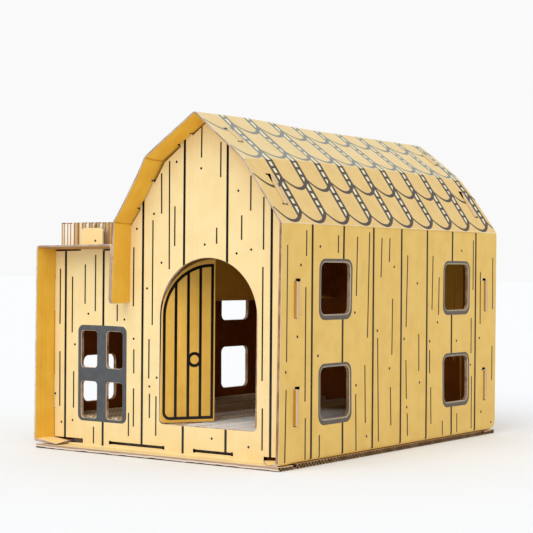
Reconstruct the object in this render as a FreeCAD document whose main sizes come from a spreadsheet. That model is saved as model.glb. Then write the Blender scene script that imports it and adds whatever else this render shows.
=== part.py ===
import FreeCAD, Part
import Sketcher
import math
import os
import re

# Cardboard cat house: a barn-like room with a kinked roof, and a lower wing on its left.
# +X is to the right, +Y to the back and +Z up. The origin is on the ground, under the middle of the house.
# Two folded shells stand on a base board. A front and a back panel close them, with tabs in the shells' slots.

SIZES = [
    # outline of the house over the outer faces of its boards
    ("room_width", 286),
    ("wing_width", 142),
    ("house_depth", 606),
    ("ridge_height", 470),
    ("knee_height", 411),
    ("knee_inset", 61),
    ("eave_height", 322),
    ("wing_height", 292),
    ("short_wall_foot", 213),
    # boards, and the gaps that their fits leave
    ("board", 5.5),
    ("base_thickness", 7),
    ("seat_gap", 0.5),
    ("shell_gap", 0.5),
    ("fit_gap", 1),
    ("slot_gap", 0.6),
    ("overrun", 2),
    # where the panels stand, and the flaps under the floor
    ("recess", 34),
    ("flap_meeting_gap", 2),
    ("flap_end_gap", 6),
    ("room_flap_neck", 47),
    ("room_flap_tip", 18),
    ("wing_flap_neck", 55),
    ("wing_flap_tip", 41),
    ("wall_corner", 14),
    ("short_wall_corner", 7),
    # windows of the two long walls
    ("window_width", 76),
    ("window_rise", 74),
    ("window_corner", 10),
    ("window_front", 134.5),
    ("window_back", 128),
    ("window_low", 94),
    ("window_high", 234),
    ("wing_window_high", 212),
    # tabs of the panels
    ("tab_out", 4),
    ("roof_tab_out", 3),
    ("wall_tab_length", 50),
    ("wall_tab_low", 81.5),
    ("wall_tab_high", 223),
    ("lower_tab_start", 29),
    ("lower_tab_length", 50),
    ("upper_tab_start", 35),
    ("upper_tab_length", 30),
    ("wing_tab_from_wall", 52),
    ("wing_tab_width", 45),
    ("wing_tab_rise", 26.5),
    ("wing_tab_corner", 7),
    # slits along the foot fold of a panel
    ("slit_height", 10.5),
    ("slit_rise", 3),
    # doorway and its two leaves
    ("door_radius", 81.5),
    ("door_spring", 194.5),
    ("door_sill", 45),
    ("door_corner", 7),
    ("cut_gap", 0.8),
    ("crease_gap", 0.6),
    ("crease_web", 0.4),
    ("crease_angle", 54),
    ("crushed_width", 22),
    ("left_leaf_angle", 60),
    ("right_leaf_angle", 80),
    # window of four panes beside the doorway
    ("pane_width", 30),
    ("pane_rise", 53),
    ("pane_corner", 5),
    ("pane_mullion", 18),
    ("pane_transom", 20),
    ("pane_from_wall", 56),
    ("pane_low", 45),
    # scratch pads
    ("pad_width", 128),
    ("pad_thickness", 32),
    ("pad_groove_width", 3),
    ("pad_groove_depth", 3.5),
    ("pad_side_gap", 1),
    ("pad_end_gap", 3),
    ("roof_pad_inset", 9),
]
NAMES = {name for name, value in SIZES}

# Bundles of strips side by side in a pad, with an open joint between two of them.
PAD_BUNDLES = 4

# The long slits of a panel's foot fold: where they start and end, as shares of the house's width.
SLIT_SHARES = ((0.257, 0.493), (0.612, 0.771))

RIGHT = "(room_width + wing_width) / 2"
LEFT = "-(room_width + wing_width) / 2"
FRONT = "-house_depth / 2"
BACK = "house_depth / 2"
RIDGE = "wing_width / 2"
SHORT_WALL = "(wing_width - room_width) / 2"
WING_FLAP = f"({SHORT_WALL} - shell_gap)"
SEAT = "(base_thickness + seat_gap)"
FLOOR = f"({SEAT} + board)"
INSET = "(board + fit_gap)"

UPPER_RUN = "(room_width / 2 - knee_inset)"
UPPER_DROP = "(ridge_height - knee_height)"
UPPER_LENGTH = f"sqrt({UPPER_RUN} ^ 2 + {UPPER_DROP} ^ 2)"
LOWER_RUN = "knee_inset"
LOWER_DROP = "(knee_height - eave_height)"
LOWER_LENGTH = f"sqrt({LOWER_RUN} ^ 2 + {LOWER_DROP} ^ 2)"

doc = FreeCAD.newDocument("cat_house")
sheet = doc.addObject("Spreadsheet::Sheet", "dims")
for row, (name, value) in enumerate(SIZES, start=1):
    sheet.set(f"A{row}", name)
    sheet.set(f"B{row}", str(value))
    sheet.setAlias(f"B{row}", name)
doc.recompute()


def bound(text):
    """The expression with each size's name pointing at its cell."""
    return re.sub(r"[a-z]\w*", lambda word: ("dims." if word[0] in NAMES else "") + word[0], text)


def size(text):
    """The value of an expression of sizes."""
    return float(sheet.evalExpression(bound(text)))


# Sketches and features

def new_body(label):
    body = doc.addObject("PartDesign::Body", label)
    body.Label = label
    return body


def new_sketch(body, role, offset="0"):
    """A sketch on the body's own XY, XZ or YZ plane, moved along +Z, +Y or +X by the offset."""
    plane = next(part for part in body.Origin.OriginFeatures if part.Role == role)
    sketch = body.newObject("Sketcher::SketchObject", "outline")
    sketch.AttachmentSupport = [(plane, "")]
    sketch.MapMode = "FlatFace"
    along = f"-({offset})" if role == "XZ_Plane" else offset
    sketch.setExpression("AttachmentOffset.Base.z", bound(along))
    return sketch


def hold(sketch, kind, geometry, end, text):
    """Holds one coordinate of a point at an expression's value."""
    value = size(text)
    if abs(value) < Part.Precision.confusion():
        axis = -1 if kind == "DistanceY" else -2
        sketch.addConstraint(Sketcher.Constraint("PointOnObject", geometry, end, axis))
        return
    index = sketch.addConstraint(Sketcher.Constraint(kind, -1, 1, geometry, end, value))
    sketch.setExpression(f"Constraints[{index}]", bound(text))


def arc_between(start, end, radius, turn):
    """The shorter arc from start to end. Turn is 1 where it goes anticlockwise, and -1 clockwise."""
    chord = end - start
    side = FreeCAD.Vector(-chord.y, chord.x, 0).normalize()
    height = math.sqrt(max(radius ** 2 - (chord.Length / 2) ** 2, 0))
    centre = start + chord / 2 + side * height * turn
    first, last = (start, end) if turn > 0 else (end, start)
    first_angle = math.atan2(first.y - centre.y, first.x - centre.x)
    last_angle = math.atan2(last.y - centre.y, last.x - centre.x)
    circle = Part.Circle(centre, FreeCAD.Vector(0, 0, 1), radius)
    return Part.ArcOfCircle(circle, first_angle, last_angle)


def add_outline(sketch, steps):
    """A closed outline. A step is (across, up), or (across, up, radius, turn) where an arc leads to it."""
    points = [FreeCAD.Vector(size(step[0]), size(step[1]), 0) for step in steps]
    pieces = []
    for number, step in enumerate(steps):
        start, end = points[number - 1], points[number]
        if len(step) == 2:
            pieces.append((sketch.addGeometry(Part.LineSegment(start, end)), 1, 2))
            continue
        ends = (1, 2) if step[3] > 0 else (2, 1)
        index = sketch.addGeometry(arc_between(start, end, size(step[2]), step[3]))
        pieces.append((index, *ends))
        radius = sketch.addConstraint(Sketcher.Constraint("Radius", index, size(step[2])))
        sketch.setExpression(f"Constraints[{radius}]", bound(step[2]))
    for number, step in enumerate(steps):
        here = pieces[number]
        after = pieces[(number + 1) % len(pieces)]
        sketch.addConstraint(Sketcher.Constraint("Coincident", here[0], here[2], after[0], after[1]))
        hold(sketch, "DistanceX", here[0], here[2], step[0])
        hold(sketch, "DistanceY", here[0], here[2], step[1])


def add_box(sketch, left, right, low, high):
    add_outline(sketch, [(left, low), (right, low), (right, high), (left, high)])


def add_rounded_box(sketch, left, right, low, high, corner):
    """A box whose four corners are rounded."""
    add_outline(sketch, [
        (f"{right} - {corner}", low),
        (right, f"{low} + {corner}", corner, 1),
        (right, f"{high} - {corner}"),
        (f"{right} - {corner}", high, corner, 1),
        (f"{left} + {corner}", high),
        (left, f"{high} - {corner}", corner, 1),
        (left, f"{low} + {corner}"),
        (f"{left} + {corner}", low, corner, 1),
    ])


def pad(body, sketch, length, reverse=False):
    """Material from the sketch along its plane's normal: +Z, +X, or -Y on the XZ plane."""
    feature = body.newObject("PartDesign::Pad", "pad")
    feature.Profile = sketch
    feature.setExpression("Length", bound(length))
    feature.Reversed = reverse
    body.Tip = feature
    return feature


def pocket(body, sketch, length=None, reverse=False):
    """A cut from the sketch against its plane's normal, or through all where no length is given."""
    feature = body.newObject("PartDesign::Pocket", "pocket")
    feature.Profile = sketch
    if length is None:
        feature.Type = "ThroughAll"
    else:
        feature.setExpression("Length", bound(length))
    feature.Reversed = reverse
    body.Tip = feature
    return feature


# Points of the roof

def roof_point(side, stretch, down, out):
    """A point of a slope: so far down from its top edge, and so far out from its outer face."""
    if stretch == "upper":
        start, top, run, drop, length = "0", "ridge_height", UPPER_RUN, UPPER_DROP, UPPER_LENGTH
    else:
        start, top, run, drop, length = UPPER_RUN, "knee_height", LOWER_RUN, LOWER_DROP, LOWER_LENGTH
    across = f"{RIDGE} + ({side}) * ({start} + {run} * ({down}) / {length} + {drop} * ({out}) / {length})"
    up = f"{top} - {drop} * ({down}) / {length} + {run} * ({out}) / {length}"
    return across, up


def ridge_corner(inset):
    return RIDGE, f"ridge_height - ({inset}) * {UPPER_LENGTH} / {UPPER_RUN}"


def knee_corner(side, inset):
    """The knee, moved in so that both slopes beside it lie the inset further in."""
    lengths = f"({UPPER_LENGTH} * {LOWER_LENGTH})"
    share = f"(1 + ({UPPER_DROP} * {LOWER_DROP} + {UPPER_RUN} * {LOWER_RUN}) / {lengths})"
    inwards = f"({inset}) * ({UPPER_DROP} / {UPPER_LENGTH} + {LOWER_DROP} / {LOWER_LENGTH}) / {share}"
    downwards = f"({inset}) * ({UPPER_RUN} / {UPPER_LENGTH} + {LOWER_RUN} / {LOWER_LENGTH}) / {share}"
    return f"{RIDGE} + ({side}) * ({UPPER_RUN} - {inwards})", f"knee_height - {downwards}"


def eave_corner(side, inset):
    across = f"{RIDGE} + ({side}) * (room_width / 2 - ({inset}))"
    return across, f"eave_height - ({inset}) * ({LOWER_LENGTH} - {LOWER_DROP}) / {LOWER_RUN}"


def roof_corners(inset):
    """Corners of the roof from the right eave over the ridge to the left eave."""
    return [
        eave_corner(1, inset),
        knee_corner(1, inset),
        ridge_corner(inset),
        knee_corner(-1, inset),
        eave_corner(-1, inset),
    ]


def add_roof_boxes(sketch, grow, inner, outer):
    """Boxes across the four slopes where the panels' tabs go, each grown by some gap at both ends."""
    stretches = (
        ("upper", "upper_tab_start", "upper_tab_length"),
        ("lower", "lower_tab_start", "lower_tab_length"),
    )
    for side in (-1, 1):
        for stretch, start, length in stretches:
            first = f"{start} - {grow}"
            last = f"{start} + {length} + {grow}"
            add_outline(sketch, [
                roof_point(side, stretch, first, inner),
                roof_point(side, stretch, last, inner),
                roof_point(side, stretch, last, outer),
                roof_point(side, stretch, first, outer),
            ])


# Places that the shells share with the panels

def panel_front(facing):
    """Front face of the front panel's board (facing -1) or of the back panel's (facing 1)."""
    return f"({FRONT} + recess)" if facing < 0 else f"({BACK} - recess - board)"


def add_wall_openings(sketch, window_high):
    """Four windows of a long wall, and its four slots for the panels' tabs."""
    for middle in (f"({FRONT} + window_front)", f"({BACK} - window_back)"):
        for height in ("window_low", window_high):
            add_rounded_box(
                sketch,
                f"{middle} - window_width / 2",
                f"{middle} + window_width / 2",
                f"{height} - window_rise / 2",
                f"{height} + window_rise / 2",
                "window_corner",
            )
    for facing in (-1, 1):
        for height in ("wall_tab_low", "wall_tab_high"):
            add_box(
                sketch,
                f"{panel_front(facing)} - slot_gap",
                f"{panel_front(facing)} + board + slot_gap",
                f"{height} - wall_tab_length / 2 - slot_gap",
                f"{height} + wall_tab_length / 2 + slot_gap",
            )


def add_foot_corners(sketch, foot, corner, facings=(-1, 1)):
    """What a rounded lower corner leaves out, at the front edge of a sheet, its back edge or both."""
    for facing in facings:
        edge = f"({facing}) * {BACK}"
        beyond = f"({facing}) * ({BACK} + overrun)"
        inside = f"({facing}) * ({BACK} - {corner})"
        add_outline(sketch, [
            (beyond, f"{foot} - overrun"),
            (inside, f"{foot} - overrun"),
            (inside, foot),
            (edge, f"{foot} + {corner}", corner, facing),
            (beyond, f"{foot} + {corner}"),
        ])


def trim_flap(body, side, wall, neck, tip):
    """Narrows a bottom flap where it passes a panel, and tapers it from there to the edge of the sheet."""
    sketch = new_sketch(body, "XY_Plane", f"{FLOOR} + overrun")
    meeting = "0 - overrun" if side > 0 else "overrun"
    neck_across = f"{wall} - ({side}) * {neck}"
    tip_across = f"{wall} - ({side}) * {tip}"
    for facing in (-1, 1):
        notch = f"({facing}) * ({BACK} - recess - board - flap_end_gap)"
        bend = f"({facing}) * ({BACK} - recess)"
        edge = f"({facing}) * {BACK}"
        beyond = f"({facing}) * ({BACK} + overrun)"
        add_outline(sketch, [
            (meeting, beyond),
            (meeting, notch),
            (neck_across, notch),
            (neck_across, bend),
            (tip_across, edge),
            (tip_across, beyond),
        ])
    pocket(body, sketch, "board + 2 * overrun")


# The shells

def make_main_shell():
    """Bottom flap, right wall, four roof slopes and short left wall, folded from one sheet."""
    body = new_body("main_shell")
    section = new_sketch(body, "XZ_Plane", BACK)
    outer = roof_corners("0")
    inner = roof_corners("board")
    add_outline(section, [
        ("flap_meeting_gap / 2", SEAT),
        (RIGHT, SEAT),
        *outer,
        (SHORT_WALL, "short_wall_foot"),
        (f"{SHORT_WALL} + board", "short_wall_foot"),
        *reversed(inner),
        (f"{RIGHT} - board", FLOOR),
        ("flap_meeting_gap / 2", FLOOR),
    ])
    pad(body, section, "house_depth")
    wall = new_sketch(body, "YZ_Plane")
    add_wall_openings(wall, "window_high")
    pocket(body, wall, reverse=True)
    for facing in (-1, 1):
        slots = new_sketch(body, "XZ_Plane", f"{panel_front(facing)} - slot_gap")
        add_roof_boxes(slots, "slot_gap", "0 - board - overrun", "overrun")
        pocket(body, slots, "board + 2 * slot_gap")
    trim_flap(body, 1, RIGHT, "room_flap_neck", "room_flap_tip")
    corners = new_sketch(body, "YZ_Plane")
    add_foot_corners(corners, "short_wall_foot", "short_wall_corner")
    pocket(body, corners)
    wall_corner = new_sketch(body, "YZ_Plane")
    add_foot_corners(wall_corner, SEAT, "wall_corner", facings=(1,))
    pocket(body, wall_corner, reverse=True)
    return body


def make_wing_shell():
    """Bottom flap, left wall, flat roof, and a flap down beside the short wall, folded from one sheet."""
    body = new_body("wing_shell")
    section = new_sketch(body, "XZ_Plane", BACK)
    add_outline(section, [
        ("0 - flap_meeting_gap / 2", FLOOR),
        (f"{LEFT} + board", FLOOR),
        (f"{LEFT} + board", "wing_height - board"),
        (f"{WING_FLAP} - board", "wing_height - board"),
        (f"{WING_FLAP} - board", "short_wall_foot"),
        (WING_FLAP, "short_wall_foot"),
        (WING_FLAP, "wing_height"),
        (LEFT, "wing_height"),
        (LEFT, SEAT),
        ("0 - flap_meeting_gap / 2", SEAT),
    ])
    pad(body, section, "house_depth")
    wall = new_sketch(body, "YZ_Plane", f"{LEFT} + wing_width / 2")
    add_wall_openings(wall, "wing_window_high")
    pocket(body, wall)
    roof = new_sketch(body, "XY_Plane", "wing_height + overrun")
    for facing in (-1, 1):
        add_box(
            roof,
            f"{LEFT} + wing_tab_from_wall - slot_gap",
            f"{LEFT} + wing_tab_from_wall + wing_tab_width + slot_gap",
            f"{panel_front(facing)} - slot_gap",
            f"{panel_front(facing)} + board + slot_gap",
        )
    pocket(body, roof, "board + 2 * overrun")
    trim_flap(body, -1, LEFT, "wing_flap_neck", "wing_flap_tip")
    corners = new_sketch(body, "YZ_Plane", f"{LEFT} + wing_width / 2")
    add_foot_corners(corners, "short_wall_foot", "short_wall_corner")
    pocket(body, corners, reverse=True)
    return body


# The panels

def make_panel(label, facing):
    """Gable and wing end in one sheet, with its foot folded out, its edge tabs and the slits of its fold."""
    body = new_body(label)
    face = panel_front(facing)
    upright = new_sketch(body, "XZ_Plane", f"{face} + board")
    add_outline(upright, [
        (f"{LEFT} + {INSET}", "0"),
        (f"{RIGHT} - {INSET}", "0"),
        *roof_corners(INSET),
        (f"{SHORT_WALL} + {INSET}", "short_wall_foot - fit_gap"),
        (f"{WING_FLAP} - {INSET}", "short_wall_foot - fit_gap"),
        (f"{WING_FLAP} - {INSET}", f"wing_height - {INSET}"),
        (f"{LEFT} + {INSET}", f"wing_height - {INSET}"),
    ])
    pad(body, upright, "board")
    foot = new_sketch(body, "XY_Plane")
    near = f"({facing}) * ({BACK} - recess - board)"
    add_box(foot, LEFT, RIGHT, *sorted((near, f"({facing}) * {BACK}"), key=size))
    pad(body, foot, "board")
    tabs = new_sketch(body, "XZ_Plane", f"{face} + board")
    for height in ("wall_tab_low", "wall_tab_high"):
        low, high = f"{height} - wall_tab_length / 2", f"{height} + wall_tab_length / 2"
        add_box(tabs, f"{LEFT} - tab_out", f"{LEFT} + {INSET} + overrun", low, high)
        add_box(tabs, f"{RIGHT} - {INSET} - overrun", f"{RIGHT} + tab_out", low, high)
    add_roof_boxes(tabs, "0", f"0 - {INSET} - overrun", "roof_tab_out")
    tab_left = f"{LEFT} + wing_tab_from_wall"
    tab_right = f"{LEFT} + wing_tab_from_wall + wing_tab_width"
    tab_top = "wing_height + wing_tab_rise"
    add_outline(tabs, [
        (tab_left, f"wing_height - {INSET} - overrun"),
        (tab_right, f"wing_height - {INSET} - overrun"),
        (tab_right, f"{tab_top} - wing_tab_corner"),
        (f"{tab_right} - wing_tab_corner", tab_top, "wing_tab_corner", 1),
        (f"{tab_left} + wing_tab_corner", tab_top),
        (tab_left, f"{tab_top} - wing_tab_corner", "wing_tab_corner", 1),
    ])
    pad(body, tabs, "board")
    cuts = new_sketch(body, "XZ_Plane", f"{face} - overrun")
    low, high = f"{SEAT} - fit_gap", f"{FLOOR} + fit_gap"
    add_box(cuts, f"{LEFT}", f"{LEFT} + wing_flap_neck + fit_gap", low, high)
    add_box(cuts, f"{RIGHT} - room_flap_neck - fit_gap", f"{RIGHT}", low, high)
    for start_share, end_share in SLIT_SHARES:
        start = f"{LEFT} + (room_width + wing_width) * {start_share}"
        end = f"{LEFT} + (room_width + wing_width) * {end_share}"
        add_box(cuts, start, end, "slit_height", "slit_height + slit_rise")
    pocket(body, cuts, "board + 2 * overrun")
    return body


def cut_doorway(body):
    """The arch, and the grooves pressed into the panel's back where the leaves fold and pass the arch."""
    face = panel_front(-1)
    left, right = f"({RIDGE} - door_radius)", f"({RIDGE} + door_radius)"
    arch = new_sketch(body, "XZ_Plane", f"{face} - overrun")
    add_outline(arch, [
        (f"{right} - door_corner", "door_sill"),
        (right, "door_sill + door_corner", "door_corner", 1),
        (right, "door_spring"),
        (RIDGE, "door_spring + door_radius", "door_radius", 1),
        (left, "door_spring", "door_radius", 1),
        (left, "door_sill + door_corner"),
        (f"{left} + door_corner", "door_sill", "door_corner", 1),
    ])
    pocket(body, arch, "board + 2 * overrun")
    grooves = new_sketch(body, "XY_Plane", "door_sill")
    for side, jamb in ((-1, left), (1, right)):
        outwards = f"{jamb} + ({side}) * (board - crease_web) * tan(crease_angle)"
        inwards = f"{jamb} - ({side}) * crushed_width"
        add_outline(grooves, [
            (jamb, f"{face} + crease_web"),
            (outwards, f"{face} + board"),
            (outwards, f"{face} + board + overrun"),
            (inwards, f"{face} + board + overrun"),
            (inwards, f"{face} + board"),
        ])
    crushed_rise = "sqrt(door_radius ^ 2 - (door_radius - crushed_width) ^ 2)"
    pocket(body, grooves, f"door_spring + {crushed_rise} - door_sill", reverse=True)


def cut_panes(body):
    """Four panes of the window beside the doorway."""
    sketch = new_sketch(body, "XZ_Plane", f"{panel_front(-1)} - overrun")
    for column in range(2):
        for row in range(2):
            left = f"{LEFT} + pane_from_wall + {column} * (pane_width + pane_mullion)"
            low = f"pane_low + {row} * (pane_rise + pane_transom)"
            add_rounded_box(sketch, left, f"{left} + pane_width", low, f"{low} + pane_rise", "pane_corner")
    pocket(body, sketch, "board + 2 * overrun")


def make_leaf(label, side, opened):
    """Half of the arch, drawn closed with its crease at the origin, then turned inwards about the crease."""
    body = new_body(label)
    outline = new_sketch(body, "XZ_Plane", "board")
    bottom = "(door_sill + cut_gap)"
    hinge = f"({side}) * crease_gap"
    free = f"({side}) * (door_radius - cut_gap / 2)"
    arc = "(door_radius - cut_gap)"
    crown = f"door_spring + sqrt({arc} ^ 2 - (cut_gap / 2) ^ 2)"
    add_outline(outline, [
        (free, bottom),
        (free, crown),
        (f"({side}) * cut_gap", "door_spring", arc, side),
        (hinge, "door_spring"),
        (hinge, f"{bottom} + door_corner"),
        (f"({side}) * (crease_gap + door_corner)", bottom, "door_corner", side),
    ])
    pad(body, outline, "board")
    groove = new_sketch(body, "XY_Plane", bottom)
    bevel = f"({side}) * (crease_gap + board * tan(crease_angle))"
    add_outline(groove, [
        (hinge, "0"),
        (bevel, "board"),
        (bevel, "board + overrun"),
        (f"0 - ({side}) * overrun", "board + overrun"),
        (f"0 - ({side}) * overrun", "0"),
    ])
    pocket(body, groove, f"{crown} - {bottom}", reverse=True)
    place = FreeCAD.Vector(size(f"{RIDGE} - ({side}) * door_radius"), size(panel_front(-1)), 0)
    turn = FreeCAD.Rotation(FreeCAD.Vector(0, 0, 1), size(opened))
    body.Placement = FreeCAD.Placement(place, turn)
    body.setExpression("Placement.Base.x", bound(f"{RIDGE} - ({side}) * door_radius"))
    body.setExpression("Placement.Base.y", bound(panel_front(-1)))
    body.setExpression("Placement.Rotation.Angle", bound(f"({side}) * {opened}"))
    return body


# The base and the pads

def make_block(label, left, right, low, height):
    """A plain block between the two panels."""
    body = new_body(label)
    sketch = new_sketch(body, "XY_Plane", low)
    gap = "seat_gap" if label == "base_board" else "pad_end_gap"
    reach = f"({BACK} - recess - board - {gap})"
    add_box(sketch, left, right, f"-{reach}", reach)
    pad(body, sketch, height)
    return body


def make_pad(label, left, low):
    """A scratch pad: bundles of strips with an open joint along the top between each two of them."""
    body = make_block(label, left, f"{left} + pad_width", low, "pad_thickness")
    joints = new_sketch(body, "XZ_Plane", FRONT)
    top = f"{low} + pad_thickness"
    for number in range(1, PAD_BUNDLES):
        middle = f"{left} + pad_width * {number} / {PAD_BUNDLES}"
        add_box(
            joints,
            f"{middle} - pad_groove_width / 2",
            f"{middle} + pad_groove_width / 2",
            f"{top} - pad_groove_depth",
            f"{top} + overrun",
        )
    pocket(body, joints)
    return body


def make_blocks():
    """The base board, three scratch pads that make the floor, and one on the wing roof."""
    right_edge = f"{RIGHT} - board - pad_side_gap"
    middle_edge = f"{right_edge} - pad_width - pad_side_gap"
    wing_edge = f"{LEFT} + board + pad_side_gap"
    roof_edge = f"{LEFT} + roof_pad_inset"
    return [
        make_block("base_board", LEFT, RIGHT, "0", "base_thickness"),
        make_pad("floor_pad_right", f"{right_edge} - pad_width", FLOOR),
        make_pad("floor_pad_middle", f"{middle_edge} - pad_width", FLOOR),
        make_pad("floor_pad_wing", wing_edge, FLOOR),
        make_pad("roof_pad", roof_edge, "wing_height"),
    ]


def check(bodies):
    """Stops where an object failed, a shape is not valid, or a pocket cut nothing."""
    for item in doc.Objects:
        if {"Invalid", "Error"} & set(item.State):
            raise RuntimeError(f"{item.Name} ({item.Label}) failed: {item.State}")
        if item.isDerivedFrom("PartDesign::Pocket"):
            before = item.BaseFeature.Shape.Volume
            if item.Shape.Volume > before * (1 - Part.Precision.confusion()):
                raise RuntimeError(f"{item.Name} cut nothing")
    for body in bodies:
        if body.Shape.isNull() or not body.Shape.isValid() or len(body.Shape.Solids) != 1:
            raise RuntimeError(f"{body.Label} is not one valid solid")


front_panel = make_panel("front_panel", -1)
cut_doorway(front_panel)
cut_panes(front_panel)
bodies = [
    make_main_shell(),
    make_wing_shell(),
    front_panel,
    make_panel("back_panel", 1),
    make_leaf("door_leaf_left", 1, "left_leaf_angle"),
    make_leaf("door_leaf_right", -1, "right_leaf_angle"),
    *make_blocks(),
]
doc.recompute()
check(bodies)

os.makedirs("parts", exist_ok=True)
for body in bodies:
    body.Shape.exportStep(f"parts/{body.Label}.step")
    bounds = body.Shape.BoundBox
    corners = (bounds.XMin, bounds.YMin, bounds.ZMin, bounds.XMax, bounds.YMax, bounds.ZMax)
    print(body.Label, round(body.Shape.Volume), [round(value, 2) for value in corners])
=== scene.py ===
import math
import random

import bpy
from mathutils import Matrix, Vector, noise
from mathutils.geometry import delaunay_2d_cdt


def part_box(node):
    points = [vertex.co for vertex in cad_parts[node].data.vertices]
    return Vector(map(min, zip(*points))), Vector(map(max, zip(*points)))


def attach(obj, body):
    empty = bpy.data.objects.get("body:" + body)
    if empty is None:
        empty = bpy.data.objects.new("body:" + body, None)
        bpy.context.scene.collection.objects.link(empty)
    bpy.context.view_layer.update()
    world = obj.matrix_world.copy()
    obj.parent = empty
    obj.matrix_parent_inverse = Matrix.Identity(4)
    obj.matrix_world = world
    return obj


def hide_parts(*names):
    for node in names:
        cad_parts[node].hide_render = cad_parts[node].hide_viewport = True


# The looks of a cardboard cat house

# Each folded sheet is a flat printed blank, cut into triangles and folded into place. Lengths are in mm.

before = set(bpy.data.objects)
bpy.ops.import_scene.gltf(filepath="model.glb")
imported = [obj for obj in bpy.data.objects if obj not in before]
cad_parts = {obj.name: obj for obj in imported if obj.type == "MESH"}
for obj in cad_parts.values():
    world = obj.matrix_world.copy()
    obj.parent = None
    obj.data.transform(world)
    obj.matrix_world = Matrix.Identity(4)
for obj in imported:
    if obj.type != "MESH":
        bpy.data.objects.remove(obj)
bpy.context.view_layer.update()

MM = 0.001


def box_mm(node):
    low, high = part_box(node)
    return low / MM, high / MM


# Shape of the house

room_low, room_high = box_mm("main_shell")
wing_low, wing_high = box_mm("wing_shell")
FRONT, BACK = room_low.y, room_high.y
LEFT, RIGHT = wing_low.x, room_high.x
SHORT_WALL = room_low.x
RIDGE_X = (room_low.x + room_high.x) / 2
RIDGE_Z = room_high.z
WING_TOP = wing_high.z
SEAT = room_low.z
HALF_ROOM = RIGHT - RIDGE_X

BOARD = 5.5
KNEE_Z = 411
KNEE_INSET = 61
EAVE_Z = 322
SHORT_WALL_FOOT = 213
NOTCH = SHORT_WALL_FOOT + 1
PANEL_GAP = 2.4
SLOT_GAP = 0.6
RECESS = 34
WING_FLAP = SHORT_WALL - 0.5
PANEL_FACE = FRONT + RECESS
FLAP_MEETING = 1
ROOM_FLAP_NECK, ROOM_FLAP_TIP = 47, 18
WING_FLAP_NECK, WING_FLAP_TIP = 33, 39.5
FLAP_NOTCH = 257.5
WALL_CORNER = 14
SHORT_WALL_CORNER = 7

WINDOW_WIDTH, WINDOW_CORNER = 74, 10
WINDOW_PLACES = (FRONT + 134.5, BACK - 128)
ROOM_WINDOWS = ((59.8, 129.8), (200.8, 271))
WING_WINDOWS = ((60.5, 129.5), (174.7, 246.5))
FRAME_SIDE, FRAME_TOP, FRAME_FOOT, FRAME_CORNER = 5.3, 5, 7.5, 14
FRAME_PALE = 2

TAB_OUT, ROOF_TAB_OUT = 4, 3
WALL_SLOTS = ((56, 107.5), (197.5, 249))
WALL_TABS = ((57, 104.5), (198, 245.5))
VOID_HIGH, VOID_NEAR, VOID_FAR = 3.3, 256.5, 267
# Down each slope from its top edge: a slot's two ends, and a tab's root, tip and low end
ROOF_SLOTS = {
    (1, "lower"): (27, 78.5), (1, "upper"): (34.4, 65.6), (-1, "lower"): (30, 78.5), (-1, "upper"): (39, 66),
}
ROOF_TABS = {
    (1, "lower"): (42, 33, 77.5), (1, "upper"): (36.5, 35.5, 64.8),
    (-1, "lower"): (33, 33, 77.5), (-1, "upper"): (40.5, 40.5, 65.2),
}
TICK_REACH, TICK_RISE = 4, 2
WING_TAB = (-160.8, -117)
WING_TAB_TOP, WING_TAB_CORNER = 317.3, 7

DOOR_RADIUS, DOOR_SPRING, DOOR_SILL, DOOR_CORNER = 81.5, 194.5, 45, 7
ARCH_X, ARCH_WIDE, ARCH_HIGH = RIDGE_X - 0.4, 83.4, 81.5
PANE_COLUMNS, PANE_ROWS = ((-158, -128), (-110, -80)), ((45, 98), (118, 171))
PANE_CORNER = 5
PANE_FRAME = (-164, -72.3, 40.8, 178.8)
PANE_FRAME_CORNER = 9
SLITS = ((-104, -3), (48, 115.5))
SLIT_LOW, SLIT_HIGH = 10.9, 14.0
WING_SLOT = ((LEFT - 1, 6.5), (-154.4, 8.7), (-154.4, 14.3), (LEFT - 1, 13.9))
ROOM_SLOT = ((166.6, 6.4), (RIGHT + 1, 6.4), (RIGHT + 1, 13.5), (166.6, 12.9))

UPPER_RUN, UPPER_DROP = HALF_ROOM - KNEE_INSET, RIDGE_Z - KNEE_Z
LOWER_RUN, LOWER_DROP = KNEE_INSET, KNEE_Z - EAVE_Z
UPPER_LENGTH = math.hypot(UPPER_RUN, UPPER_DROP)
LOWER_LENGTH = math.hypot(LOWER_RUN, LOWER_DROP)


def slope_point(side, stretch, down, out):
    """A point of a roof slope: so far down from its top edge, and so far out from its outer face."""
    if stretch == "upper":
        start, top, run, drop, length = 0, RIDGE_Z, UPPER_RUN, UPPER_DROP, UPPER_LENGTH
    else:
        start, top, run, drop, length = UPPER_RUN, KNEE_Z, LOWER_RUN, LOWER_DROP, LOWER_LENGTH
    across = RIDGE_X + side * (start + run * down / length + drop * out / length)
    return across, top - drop * down / length + run * out / length


def roof_corners(inset):
    """Corners of the roof from the right eave over the ridge to the left eave, moved in by the inset."""
    upper = Vector((UPPER_DROP, UPPER_RUN)) / UPPER_LENGTH
    lower = Vector((LOWER_DROP, LOWER_RUN)) / LOWER_LENGTH
    knee = (upper + lower) * inset / (1 + upper.dot(lower))
    eave_z = EAVE_Z - inset * (LOWER_LENGTH - LOWER_DROP) / LOWER_RUN
    right = [
        (RIDGE_X + HALF_ROOM - inset, eave_z),
        (RIDGE_X + UPPER_RUN - knee.x, KNEE_Z - knee.y),
    ]
    ridge = (RIDGE_X, RIDGE_Z - inset * UPPER_LENGTH / UPPER_RUN)
    left = [(2 * RIDGE_X - x, z) for x, z in reversed(right)]
    return [*right, ridge, *left]


# Wear

def smooth(share):
    """A soft step from 0 to 1."""
    share = min(1.0, max(0.0, share))
    return share * share * (3 - 2 * share)


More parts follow.
